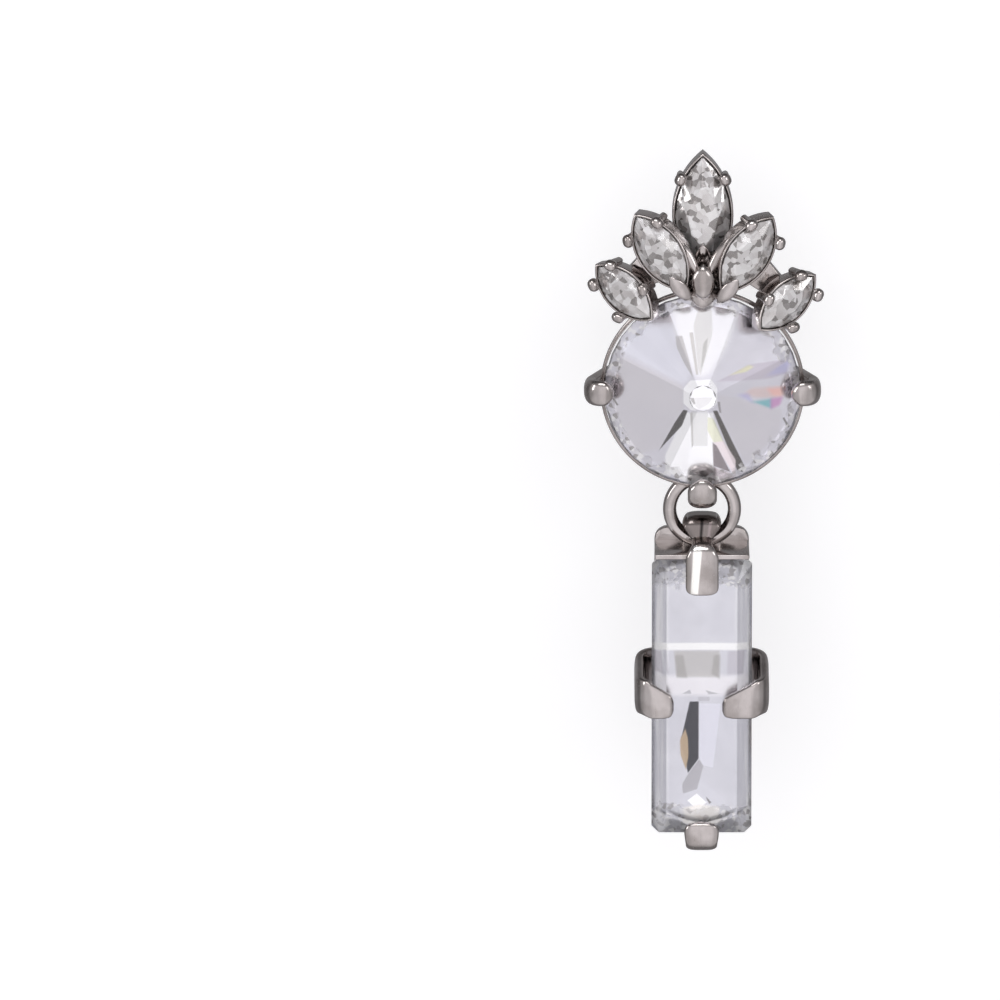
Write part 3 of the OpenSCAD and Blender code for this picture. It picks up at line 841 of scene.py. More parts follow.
@dataclass(frozen=True)
class WhiteSweep:
    """Matt white paper of the studio floor and backdrop, see-through from behind."""

    name: str = "white_sweep"
    white: Colour = (0.95, 0.95, 0.95, 1)
    glow: float = 0.19

    def make(self) -> bpy.types.Material:
        """Builds the material.

        Returns:
            The material.
        """
        mat = bpy.data.materials.new(self.name)
        mat.use_nodes = True
        shader = mat.node_tree.nodes["Principled BSDF"]
        shader.inputs["Base Color"].default_value = self.white
        shader.inputs["Roughness"].default_value = 1.0
        shader.inputs["Specular IOR Level"].default_value = 0.0
        shader.inputs["Emission Color"].default_value = (1, 1, 1, 1)
        shader.inputs["Emission Strength"].default_value = self.glow
        kit = NodeKit(mat.node_tree)
        facing = kit.node("ShaderNodeNewGeometry").outputs["Backfacing"]
        clear = kit.node("ShaderNodeBsdfTransparent").outputs["BSDF"]
        sheet = kit.node("ShaderNodeMixShader", {}, {0: facing, 1: shader.outputs["BSDF"], 2: clear})
        mat.node_tree.links.new(sheet.outputs["Shader"], mat.node_tree.nodes["Material Output"].inputs["Surface"])
        return mat


@dataclass
class Finishes:
    """The materials that the pieces share."""

    metal: bpy.types.Material
    drop_metal: bpy.types.Material
    crystal: bpy.types.Material
    foil: bpy.types.Material
    round_foil: bpy.types.Material
    sparkle_foil: bpy.types.Material
    drop_foil: bpy.types.Material

    @classmethod
    def all(cls) -> "Finishes":
        """Builds them all.

        Returns:
            The finishes, in the order of the fields.
        """
        to_middle = 12.81
        # The drop's metal carries painted reflections, highlights and shade on the bail and its claw.
        drop_metal = PlatedMetal("plated_metal_drop", middle=(0, LAYOUT.hinge_z), glints=BAIL_GLINTS)
        # The round and long stones' foils carry painted reflections and shade, and painted sparkle near their edge or
        # ends.
        round_foil = Foil("round_foil", (0.8, 0.79, 0.84, 1), (0.75, 0.74, 0.79, 1), roughness=0.1,
                          sparkle_scale=3000, sparkle_zone=SparkleZone.EDGE, sparkle_from=7.1, sparkle_dark=(0.34, 0.32, 0.3, 1),
                          middle=(0, -LAYOUT.round_drop), glints=ROUND_GLINTS, back=-4.2)
        # The crown stones' foil carries painted sparkle all over.
        sparkle_foil = Foil("sparkle_foil", (0.88, 0.86, 0.84, 1), (0.66, 0.63, 0.6, 1), roughness=0.1,
                            sparkle_scale=2200)
        drop_foil = Foil("drop_foil", (0.7, 0.7, 0.74, 1), (0.65, 0.65, 0.69, 1), roughness=0.16,
                         sparkle_scale=2800, sparkle_zone=SparkleZone.ENDS, sparkle_from=9.4, sparkle_dark=(0.4, 0.38, 0.37, 1),
                         streak_from=2.55, middle=(0, LAYOUT.hinge_z - to_middle),
                         glints=tuple(glint.moved(0, to_middle) for glint in DROP_GLINTS), back=-3.4)
        return cls(PlatedMetal().make(), drop_metal.make(), CutCrystal().make(), Foil().make(), round_foil.make(),
                   sparkle_foil.make(), drop_foil.make())


class Body(Enum):
    """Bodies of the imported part."""

    UPPER = "upper"
    RING = "ring"
    DROP = "drop"


class Slot(Enum):
    """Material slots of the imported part."""

    METAL = "plated_metal"
    CRYSTAL = "crystal"


def build(name: str, shells: Sequence[Shell], materials: Sequence[bpy.types.Material], body: Body, slot: Slot,
          replaces: Sequence[str] = ()) -> bpy.types.Object:
    """Makes one piece of one or more shells and rides it on its body.

    Args:
        name: Of the object.
        shells: Its closed surfaces, in the row's frame, in millimetres.
        materials: Its material slots.
        body: What it rides on.
        slot: The record's material slot; not used.
        replaces: CAD nodes that it stands for.

    Returns:
        The object.
    """
    starts = np.concatenate([[0], np.cumsum([len(s.points) for s in shells])])
    points = np.concatenate([s.points for s in shells]) * MM
    faces = [[i + int(start) for i in f] for s, start in zip(shells, starts) for f in s.faces]
    mesh = bpy.data.meshes.new(name)
    mesh.from_pydata(points.tolist(), [], faces)
    smooth = np.concatenate([np.full(len(s.faces), s.smooth) for s in shells])
    slots = np.concatenate([np.array(s.slots or [0] * len(s.faces)) for s in shells])
    for material in materials:
        mesh.materials.append(material)
    mesh.polygons.foreach_set("use_smooth", smooth)
    mesh.polygons.foreach_set("material_index", slots.astype(np.int32))
    mesh.update()
    obj = bpy.data.objects.new(name, mesh)
    bpy.context.scene.collection.objects.link(obj)
    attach(obj, body.value)
    if replaces:
        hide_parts(*replaces)
    LOG.info("%s: %d faces on %s", name, len(mesh.polygons), body.value)
    return obj


# ---------------------------------------------------------------- stones


def ring_of(radius: Array | float, depth: Array | float, count: int) -> Array:
    """Points (r cos a, depth, r sin a) at even steps of the angle, the first on the right."""
    flat = circle(count)
    return np.stack([radius * flat[:, 0], np.broadcast_to(depth, (count,)), radius * flat[:, 1]], axis=-1)


@dataclass(frozen=True)
class RoundStone:
    """Large round stone cut to a point: clear wedges over a foil close behind them, and a foiled back.

    The crown and the back are heights from the middle of the girdle, the table is its radius, the edge is the width
    of the small outer facets, the skin is the clear depth over the foil, and the tilt is the slope by which the
    foil's wedges differ by turns.
    """

    radius: float = 8.0
    crown: float = 3.05
    back: float = 3.45
    girdle: float = 0.3
    table: float = 1.05
    edge: float = 0.75
    wedges: int = 16
    skin: float = 0.38
    tilt: float = 0.012
    dish_edge: float = 0.9
    dish_back: float = 0.5

    def front(self) -> Shell:
        """The clear front: rings joined by flat facets, and the same again behind, its wedges tilted by turns.

        Returns:
            The closed shell, its girdle and its back facets in the foil's slot.
        """
        w, n = self.wedges, 2 * self.wedges
        table_flat = self.table * math.cos(math.pi / n)
        slope = (self.crown - self.girdle / 2) / (self.radius - table_flat)
        edge_r = self.radius - self.edge
        edge_f = self.crown - slope * (edge_r * math.cos(math.pi / n) - table_flat)
        fall = (self.crown - edge_f) / (edge_r - self.table)
        start = self.crown + fall * self.table - self.skin
        falls = fall + self.tilt * np.where(np.arange(w) % 2 == 0, 1, -1)
        points = np.concatenate([
            ring_of(self.table, self.crown, w), ring_of(edge_r, edge_f, w), ring_of(self.radius, self.girdle / 2, n),
            ring_of(self.radius, -self.girdle / 2, n), ring_of(edge_r, start - falls * edge_r, w),
            ring_of(self.table, start - falls * self.table, w)])
        e, g, b, fe, ft = w, 2 * w, 2 * w + n, 2 * w + 2 * n, 3 * w + 2 * n
        clear = [list(range(w))[::-1]]
        clear += [[i, (i + 1) % w, e + (i + 1) % w, g + 2 * i + 1, e + i] for i in range(w)]
        clear += [[e + i, g + 2 * i + 1, g + 2 * i] for i in range(w)]
        clear += [[e + i, g + 2 * i, g + (2 * i + n - 1) % n] for i in range(w)]
        clear += [[g + i, g + (i + 1) % n, b + (i + 1) % n, b + i] for i in range(n)]
        foil = [[b + 2 * i, b + 2 * i + 1, fe + i] for i in range(w)]
        foil += [[b + (2 * i + n - 1) % n, b + 2 * i, fe + i] for i in range(w)]
        foil += [[b + 2 * i + 1, fe + (i + 1) % w, fe + i] for i in range(w)]
        foil += [[fe + i, fe + (i + 1) % w, ft + (i + 1) % w, ft + i] for i in range(w)]
        foil += [[ft + i for i in range(w)]]
        faces = [f[::-1] for f in clear] + [f[::-1] for f in foil]
        return Shell(points, faces, False, [0] * (len(clear) - n) + [1] * (n + len(foil)))

    def behind(self) -> Shell:
        """The foiled back: a shallow dish from the girdle, and flat facets to the culet.

        Returns:
            The closed shell.
        """
        n = 2 * self.wedges
        points = np.concatenate([
            ring_of(self.radius - self.dish_edge, -self.dish_back, n),
            ring_of(self.radius - CLEAR, -self.girdle / 2 - CLEAR, n), [[0.0, -self.back, 0.0]]])
        faces = [list(range(n))]
        faces += [[i, n + i, n + (i + 1) % n, (i + 1) % n] for i in range(n)]
        faces += [[n + i, 2 * n, n + (i + 1) % n] for i in range(n)]
        return Shell(points, faces, False, [2] * len(faces))

    def make(self, finishes: Finishes) -> None:
        """Builds the stone.

        Args:
            finishes: The materials.
        """
        shells = [placed(self.front(), LAYOUT.upper), placed(self.behind(), LAYOUT.upper)]
        build("round_crystal", shells, [finishes.crystal, finishes.round_foil, finishes.foil], Body.UPPER,
              Slot.CRYSTAL, ["round_stone"])


@dataclass(frozen=True)
class CrownStones:
    """The five pointed oval stones: table, star, kite and girdle facets over a foil, and a foiled keel behind.

    The table, the star points and the dish are shares of the oval's size, the star's height is a share of the
    crown, and the keel is its half length as a share of the stone's length.
    """

    points: int = 16
    table: float = 0.52
    star: float = 0.8
    star_height: float = 0.62
    keel: float = 0.45
    skin: float = 0.4
    keel_size: float = 0.985
    dish: float = 0.8
    dish_back: float = 0.1

    def facets(self, line0: int, star0: int, table0: int) -> list[list[int]]:
        """Flat facets between the outline, the star points and the table.

        Args:
            line0: Number of the outline's first point.
            star0: Number of the first star point.
            table0: Number of the table's first point.

        Returns:
            The facets, as lists of point numbers.
        """
        n, m = self.points, self.points // 2
        faces = [[table0 + j for j in range(m)]]
        for j in range(m):
            a, b, mid = line0 + 2 * j, line0 + (2 * j + 2) % n, line0 + 2 * j + 1
            t, t2, s = table0 + j, table0 + (j + 1) % m, star0 + j
            faces += [[t, s, t2], [t, a, s], [t2, s, b], [s, a, mid], [s, mid, b]]
        return faces

    def shells(self, seat: CrownSeat) -> list[Shell]:
        """The clear front with its foil, and the keel: copies of the oval's outline at several heights.

        Args:
            seat: Of the stone.

        Returns:
            The two closed shells, in the stone's own flat frame.
        """
        n, m = self.points, self.points // 2
        line = oval(seat.length, seat.width, 0, n)
        star, flat = line[1::2] * self.star, line[0::2] * self.table
        star_h, girdle_h = self.star_height * seat.crown, -seat.girdle

        def level(xy: Array, h: float) -> Array:
            """The points xy at height h."""
            return np.column_stack([xy, np.full(len(xy), h)])

        points = np.concatenate([
            level(line, 0), level(line, girdle_h), level(star, star_h), level(flat, seat.crown),
            level(star, max(star_h - self.skin, girdle_h + CLEAR)), level(flat, seat.crown - self.skin)])
        clear = self.facets(0, 2 * n, 2 * n + m) + [[i, n + i, n + (i + 1) % n, (i + 1) % n] for i in range(n)]
        foil = [f[::-1] for f in self.facets(n, 2 * n + 2 * m, 2 * n + 3 * m)]
        tip = self.keel * line[0, 1]
        low = girdle_h - seat.back
        under = np.concatenate([level(line * self.keel_size, girdle_h - CLEAR),
                                level(line * self.dish, girdle_h - self.dish_back), [[0, tip, low], [0, -tip, low]]])
        k0 = 2 * n
        keel = [[n + i for i in range(n)]] + [[i, (i + 1) % n, n + (i + 1) % n, n + i][::-1] for i in range(n)]
        for i in range(n):
            up = line[i, 1] + line[(i + 1) % n, 1] > 0
            keel.append([i, k0 if up else k0 + 1, (i + 1) % n])
        keel += [[n // 4, k0, k0 + 1], [3 * n // 4, k0 + 1, k0]]
        return [Shell(points, clear + foil, False, [0] * (len(clear) - n) + [1] * (n + len(foil))),
                Shell(under, keel, False, [1] * len(keel))]

    def make(self, finishes: Finishes) -> None:
        """Builds the five stones.

        Args:
            finishes: The materials.
        """
        for seat in CROWN:
            shells = [placed(shell, seat.place) for shell in self.shells(seat)]
            build(f"crown_crystal_{seat.name}", shells, [finishes.crystal, finishes.sparkle_foil], Body.UPPER,
                  Slot.CRYSTAL, [f"crown_stone_{seat.name}"])


@dataclass(frozen=True)
class DropStone:
    """Long stone: cut corners, bevels, a table with pointed ends, a foil close behind it and a foiled keel.

    The crown and the back are heights from the girdle's two edges. The bevels are insets of the table at the sides,
    at its corners and at its points, and the ridge's is from the stone's end to the end of the keel's ridge. The
    table's forward depth and the top are measured from the drop's hinge. The hollow is the depth of the foil's roof.
    """

    length: float = 23.4
    width: float = 8.2
    corner: float = 0.6
    crown: float = 1.2
    girdle: float = 0.3
    back: float = 3.2
    side_bevel: float = 1.2
    corner_bevel: float = 1.9
    point_bevel: float = 1.1
    ridge_inset: float = 4.6
    table_f: float = 2.55
    top_z: float = -1.1
    hollow: float = 0.25
    dish_back: float = 0.45

    @property
    def girdle_f(self) -> float:
        """Depth of the girdle's back edge from the table."""
        return -self.crown - self.girdle

    @property
    def ridge(self) -> Array:
        """The two ends (x, z) of the ridge, from the stone's middle."""
        end = self.length / 2 - self.ridge_inset
        return np.array([[0, end], [0, -end]])

    def level(self, xz: Array, f: float) -> Array:
        """Points (x, z from the stone's middle) at a depth from its table, in the drop's frame."""
        middle = self.top_z - self.length / 2
        return np.stack([xz[:, 0], np.full(len(xz), f + self.table_f), xz[:, 1] + middle], axis=-1)

    def outline(self) -> Array:
        """Its outline with cut corners and a point in the middle of each end.

        Returns:
            Array (10, 2), from the corner at the upper right.
        """
        hl, hw, c = self.length / 2, self.width / 2, self.corner
        quarter = np.array([[hw, hl - c], [hw - c, hl], [0, hl], [c - hw, hl], [-hw, hl - c]])
        return np.concatenate([quarter, -quarter])

    def roof(self, g: int, k: int, n: int) -> list[list[int]]:
        """Flat facets from an outline back to the two ends of a ridge.

        Args:
            g: Number of the outline's first point.
            k: Number of the ridge's upper end, its lower end being the next.
            n: Points of the outline.

        Returns:
            The facets, as lists of point numbers.
        """
        faces = [[g + i + 1, g + i, k] for i in range(4)]
        faces += [[k, k + 1, g + 5, g + 4], [k + 1, k, g, g + n - 1]]
        return faces + [[g + i + 1, g + i, k + 1] for i in range(5, n - 1)]

    def front(self) -> Shell:
        """The clear front: table, bevels and girdle, and a shallow foiled roof behind.

        Returns:
            The closed shell, its girdle and its roof in the foil's slot.
        """
        outline = self.outline()
        n, half = len(outline), self.length / 2
        tx, tz, pz = self.width / 2 - self.side_bevel, half - self.corner_bevel, half - self.point_bevel
        table = np.array([[tx, tz], [0, pz], [-tx, tz], [-tx, -tz], [0, -pz], [tx, -tz]])
        points = np.concatenate([
            self.level(outline, -self.crown), self.level(outline, self.girdle_f), self.level(table, 0),
            self.level(self.ridge, self.girdle_f - self.hollow)])
        t0 = 2 * n

        def end(g: int, t: int) -> list[list[int]]:
            """Facets between one end of the outline and of the table."""
            return [[g, g + 1, t], [g + 1, g + 2, t], [g + 2, t + 1, t], [g + 2, t + 2, t + 1], [g + 2, g + 3, t + 2],
                    [g + 3, g + 4, t + 2]]

        clear = [list(range(t0, t0 + 6))]
        clear += end(0, t0) + end(5, t0 + 3)
        clear += [[4, 5, t0 + 3, t0 + 2], [9, 0, t0, t0 + 5]]
        clear += [[n + i, n + (i + 1) % n, (i + 1) % n, i] for i in range(n)]
        foil = self.roof(n, t0 + 6, n)
        return Shell(points, clear + foil, False, [0] * (len(clear) - n) + [1] * (n + len(foil)))

    def behind(self) -> Shell:
        """The foiled keel: a shallow dish from the girdle, and flat facets back to the ridge.

        Returns:
            The closed shell.
        """
        outline = self.outline()
        n = len(outline)
        points = np.concatenate([
            self.level(outline * 0.995, self.girdle_f - CLEAR),
            self.level(outline * np.array([0.75, 0.9]), self.girdle_f - self.dish_back),
            self.level(self.ridge, self.girdle_f - self.back)])
        faces = [list(range(n, 2 * n))]
        faces += [[i, (i + 1) % n, n + (i + 1) % n, n + i] for i in range(n)]
        faces += self.roof(0, 2 * n, n)
        return Shell(points, faces, False, [2] * len(faces))

    def make(self, finishes: Finishes) -> None:
        """Builds the stone.

        Args:
            finishes: The materials.
        """
        shells = [placed(self.front(), LAYOUT.drop), placed(self.behind(), LAYOUT.drop)]
        build("drop_crystal", shells, [finishes.crystal, finishes.drop_foil, finishes.foil], Body.DROP, Slot.CRYSTAL,
              ["drop_stone"])


# ---------------------------------------------------------------- upper metal


@dataclass(frozen=True)
class RoundSetting:
    """Rim, four bent claws and the flat cross that hold the round stone.

    The reaches are from the stone's middle to the claws' outer faces. The cross lies between its back and its front,
    in forward depths.
    """

    claw_half: float = 1.15
    claw_thick: float = 0.64
    side_reach: float = 9.7
    side_slant: float = 1.6
    end_reach: float = 9.55
    end_flare: float = 0.65
    cross_back: float = -4.55
    cross_front: float = -3.65
    disc: float = 2.6

    def rim(self) -> Shell:
        """Band round the girdle: a closed profile with a groove between two ridges, carried round.

        Returns:
            The closed ring.
        """
        profile = filleted(
            [[8.06, -0.82], [8.36, -0.82], [8.34, -0.54], [8.26, -0.47], [8.24, -0.54], [8.18, -0.54], [8.15, -0.3],
             [8.06, -0.3]], [0.06, 0.08, 0.06, 0.03, 0.02, 0.02, 0.05, 0.04], closed=True)
        return placed(lathe(profile, 144), LAYOUT.upper)

    def claw(self, reach: float, turn: float, flare: float = 0.0, slant: float = 0.1) -> Shell:
        """A strap from the cross, up outside the girdle and over the stone's edge, with a round head.

        Args:
            reach: Distance of its outer face from the middle.
            turn: Degrees round the stone from the lowest point.
            flare: How much farther out its head stands.
            slant: How much farther in its foot stands.

        Returns:
            The claw.
        """
        middle = reach - self.claw_thick
        side = filleted([[6.6, -4.1], [middle - slant, -4.1], [middle, -1.2 + slant / 3], [middle + flare, 1.04],
                         [7.2, 1.2]], [0, 0.7, 0.6, 1.2, 0])
        count = 90
        line = evenly(side, count)
        path = np.column_stack([np.zeros(count), line[:, 1], -line[:, 0]])
        half_t = course([(0, 0.42), (0.14, 0.45), (0.3, 0.6), (0.62, 0.62), (0.9, 0.62), (1, 0.5)], count)
        wide = 1.2 if flare > 0 else 1.06
        half_w = course([(0, 1.1), (0.2, 1.1), (0.66, 1.0), (0.8, wide), (0.9, wide), (1, 0.9)], count)
        ends = rounded_ends(count, 0.02, 0.13, 2.0)
        thin = rounded_ends(count, 0.0, 0.1, 2.2)
        shell = swept(path, (1, 0, 0), half_w * ends, half_t * thin, 2.25, 44)
        return placed(shell, lambda p: LAYOUT.upper(turned_in_face(p, turn)))

    def cross(self) -> list[Shell]:
        """The two straps behind the stone and the round plate on which they meet, each a little thicker.

        Returns:
            The three closed plates.
        """
        plates = []
        for half_x, half_z, inset in ((self.claw_half, self.end_reach - 0.9, CLEAR),
                                      (self.side_reach - 2.2, self.claw_half, 2 * CLEAR)):
            corner = np.array([half_x, half_z])
            outline = filleted(corner * np.array([[-1, -1], [1, -1], [1, 1], [-1, 1]]), 0.15, True)
            plates.append(plate(outline, self.cross_back + inset, self.cross_front - inset, 0.12, 160))
        disc = self.disc * circle(64)
        plates.append(plate(disc, self.cross_back, self.cross_front + 0.03, 0.14, 64))
        return [placed(shell, LAYOUT.upper) for shell in plates]

    def shells(self) -> list[Shell]:
        """All of the round setting.

        Returns:
            Its closed shells.
        """
        claws = [self.claw(self.end_reach, 0, self.end_flare), self.claw(self.end_reach, 180)]
        claws += [self.claw(self.side_reach, turn, slant=self.side_slant) for turn in (90, 270)]
        return [self.rim(), *claws, *self.cross()]


def turned_in_face(points: Array, degrees: float) -> Array:
    """Turns (x, forward, z) points in the plane of the face.

    Args:
        points: Array of (..., 3).
        degrees: Anticlockwise angle, as the viewer sees it.

    Returns:
        The points turned, in an array of the same shape.
    """
    c, s = math.cos(math.radians(degrees)), math.sin(math.radians(degrees))
    x, f, z = np.moveaxis(points, -1, 0)
    return np.stack([c * x - s * z, f, s * x + c * z], axis=-1)


@dataclass(frozen=True)
class CrownSetting:
    """Cups, shoulder claws, leaf claws, wings and boss that carry the crown stones."""

    wall: float = 0.25
    floor: float = 0.3
    gap: float = 0.06

    def depth(self, seat: CrownSeat) -> float:
        """Depth of a cup's floor below the top of the girdle."""
        return seat.girdle + seat.back + self.gap

    def cup(self, seat: CrownSeat) -> Shell:
        """A dish: rows of the oval, each given by a scale, a growth and a height, from the floor over the rim and in.

        Args:
            seat: Of the stone in it.

        Returns:
            The closed dish.
        """
        deep = self.depth(seat)
        low = -deep - self.floor
        rows = [(0.02, 0.0, low), (0.9, 0.0, low), (1, self.wall - 0.12, low), (1, self.wall - 0.03, low + 0.04),
                (1, self.wall, low + 0.14), (1, self.wall, -0.12), (1, self.wall - 0.02, -0.02),
                (1, self.wall - 0.08, 0.05), (1, self.gap + 0.05, 0.05), (1, self.gap, 0.0), (1, self.gap, -deep),
                (0.6, 0.0, -deep), (0.02, 0.0, -deep)]
        grid = np.stack([np.column_stack([scale * oval(seat.length, seat.width, grow, 64), np.full(64, h)])
                         for scale, grow, h in rows])
        return placed(grid_shell(grid), seat.place)

    def shoulder_claws(self, seat: CrownSeat, ends: Sequence[int], outer_share: float) -> list[Shell]:
        """Round wire claws that stand on the cup's wall and bend over the girdle.

        Args:
            seat: Of the stone that they hold.
            ends: 1 for claws at the outer end of the oval, -1 for claws at its inner end.
            outer_share: Share of the stone's length from its middle to the outer claws.

        Returns:
            Two claws an end.
        """
        radius = (seat.length ** 2 + seat.width ** 2) / (4 * seat.width)
        top = 0.15 * seat.width + 0.34
        count = 26
        girth = course([(0, 0.28), (0.62, 0.34), (0.85, 0.5), (1, 0.48)], count) * rounded_ends(count, 0, 0.16, 2)
        made = []
        for side in (-1, 1):
            for end in ends:
                along = seat.length * (outer_share if end > 0 else 0.17)
                side_x = math.sqrt(radius ** 2 - along ** 2) - radius + seat.width / 2
                out = np.array([side * (side_x + 0.34), end * (along + 0.12)])
                over = np.array([side * (side_x - 0.12), end * (along - 0.08)])
                corners = [[*out, -self.depth(seat)], [*out, top - 0.12], [*over, top + 0.02]]
                path = evenly(filleted(corners, [0, 0.34, 0]), count)
                across = np.array([-(over - out)[1], (over - out)[0], 0.0])
                made.append(placed(swept(path, across / np.linalg.norm(across), girth * 1.12, girth, 2.4, 20),
                                   seat.place))
        return made

    def leaf(self, seat: CrownSeat, reach: float, length: float, width: float) -> list[Shell]:
        """A ridged leaf over the stone's inner point, on a short stem.

        The leaf's half width is w/2*(1 - t*t)**0.8, t going from -1 to 1 along it.

        Args:
            seat: Of the stone.
            reach: From the stone's inner point to the leaf's middle.
            length: Of the leaf.
            width: Of the leaf, w above.

        Returns:
            The leaf and its stem.
        """
        count, steps = 40, 8
        t = np.linspace(-1, 1, count)
        start = np.array([0, -seat.length / 2 + reach, 0.115 * seat.width + 0.12 + 0.22])
        tilt = math.radians(22)
        path = start + t[:, None] * (length / 2) * np.array([0, math.cos(tilt), math.sin(tilt)])
        path[:, 2] += 0.12 * (1 - t ** 2)
        half_w = np.maximum(width / 2 * (1 - t ** 2) ** 0.8, TIP)
        half_t = np.maximum(0.2 * (1 - t ** 4), TIP)
        blade = swept(path, (1, 0, 0), half_w, half_t, 2.6, 28, bulge=0.35)
        heights = np.linspace(-1.3, start[2] - 0.15, steps)
        stem_path = np.column_stack([np.zeros(steps), np.full(steps, -seat.length / 2 - 0.55), heights])
        wire = np.full(steps, 0.38)
        stem = swept(stem_path, (1, 0, 0), wire, wire, 2.2, 20)
        return [placed(blade, seat.place), placed(stem, seat.place)]

    def wings(self) -> list[Shell]:
        """Two wing-shaped plates behind the cups, and pegs from them up to the cups.

        Returns:
            The closed plates, in (x, forward, z).
        """
        made = []
        for seat in LOWER:
            side = math.copysign(1, seat.x)
            outline = filleted(
                [[side * 0.3, 8.55], [side * 3.4, 9.1], [seat.x - side * 0.9, seat.z - 0.5],
                 [seat.x + side * 0.6, seat.z - 0.3], [seat.x - side * 0.1, seat.z + 1.2], [side * 4, 12.5],
                 [side * 2.35, 12.5], [side * 1.7, 11.2], [side * 1.05, 10.2], [side * 0.5, 9.45],
                 [side * 0.3, 9.15]], [0.1, *[0.25] * 8, 0.1, 0.1], True)
            made.append(plate(outline, -1, -0.1, 0.15, 128))
        for seat in CROWN[1:]:
            peg = 0.55 * circle(40) + np.array([seat.x * 0.96, seat.z - 0.25])
            made.append(plate(peg, -0.8, seat.forward - 1.6, 0.05, 40))
        return made

    def boss(self) -> list[Shell]:
        """The stepped boss in the middle, an upright leaf on it and two petals that rise beside it.

        Half widths go by 1 - |t|**p, t going from -1 to 1 along a leaf.

        Returns:
            The closed shells, in (x, forward, z).
        """
        count = 40
        made = [plate(radius * circle(count) + np.array([0, z]), back, front, 0.14, count)
                for radius, z, back, front in ((0.55, 8.61, -1, 1.6), (0.9, 9.5, 1.5, 2.45))]
        t = np.linspace(-1, 1, count)
        path = np.column_stack([np.zeros(count), 2.6 + 0.25 * (1 - t ** 2), 9.75 + 1.5 * t])
        made.append(swept(path, (1, 0, 0), np.maximum(0.92 * (1 - np.abs(t) ** 2.2) ** 0.8, TIP),
                          np.maximum(0.24 * (1 - t ** 4), TIP), 2.0, 28, bulge=0.6))
        for side in (-1, 1):
            line = evenly(filleted([[side * 0.2, 2.35, 9.9], [side * 1.1, 2.1, 11.6], [side * 2.15, 1.7, 13.3]],
                                   [0, 3, 0]), count)
            made.append(swept(line, (0.86, 0, side * -0.5), np.maximum(0.46 * (1 - np.abs(t) ** 2.4), TIP),
                              np.maximum(0.2 * (1 - t ** 4), TIP), 2.0, 28, bulge=0.6))
        return made

    def shells(self) -> list[Shell]:
        """All of the crown's metal.

        Returns:
            Its closed shells.
        """
        made = [placed(shell, LAYOUT.upper) for shell in self.wings() + self.boss()]
        for seat in CROWN:
            made.append(self.cup(seat))
            ends, share = ((-1, 1), 0.35) if seat in LOWER else ((1,), 0.31)
            made += self.shoulder_claws(seat, ends, share)
        made += self.leaf(CROWN[0], 1.1, 3.4, 1.6)
        made += self.leaf(CROWN[1], 0.2, 2.8, 1.3)
        made += self.leaf(CROWN[2], 0.2, 2.8, 1.3)
        return made


@dataclass(frozen=True)
class UpperSetting:
    """The soldered metal of the upper half."""

    round_setting: RoundSetting = RoundSetting()
    crown_setting: CrownSetting = CrownSetting()

    def make(self, finishes: Finishes) -> None:
        """Builds the round setting and the crown's metal.

        Args:
            finishes: The materials.
        """
        build("round_claw_setting", self.round_setting.shells(), [finishes.metal], Body.UPPER, Slot.METAL,
              ["upper_setting"])
        build("crown_cup_setting", self.crown_setting.shells(), [finishes.metal], Body.UPPER, Slot.METAL)


@dataclass(frozen=True)
class EarPost:
    """The post behind the setting, with a soldered foot and a groove near its end."""

    radius: float = 0.45
    length: float = 11.0

    def make(self, finishes: Finishes) -> None:
        """Builds the post: a profile (radius, distance along +Y) carried round, closed by small caps.

        Args:
            finishes: The materials.
        """
        r, end = self.radius, self.length
        profile = filleted([[0.01, 0.03], [1.15, 0.03], [1.15, 0.33], [0.62, 0.4], [r, 0.62], [r, end - 2.25],
                            [0.32, end - 2], [r, end - 1.75], [r, end - 0.35], [0.3, end], [0.01, end + 0.03]],
                           [0, 0.08, 0.06, 0.05, 0.1, 0.1, 0.15, 0.1, 0.2, 0.15, 0])
        grid = np.stack([ring_of(radius, y, 40) for radius, y in profile])
        build("ear_post_wire", [grid_shell(grid)], [finishes.metal], Body.UPPER, Slot.METAL, ["ear_post"])


@dataclass(frozen=True)
class JumpRing:
    """The round wire ring, its wire a little flattened."""

    radius: float = 2.65
    wire: float = 0.55
    forward: float = -1.6
    middle_z: float = -10.44
    steps: int = 144

    def make(self, finishes: Finishes) -> None:
        """Builds the ring: a rounded section carried round a circle.

        Args:
            finishes: The materials.
        """
        path = ring_of(self.radius, self.forward, self.steps) + np.array([0, 0, self.middle_z])
        half = np.full(self.steps, self.wire)
        shell = swept(path, (0, 1, 0), half, half, 2.25, 36, ring=True)
        build("jump_ring_wire", [placed(shell, LAYOUT.upper)], [finishes.metal], Body.RING, Slot.METAL, ["jump_ring"])


# ---------------------------------------------------------------- drop metal


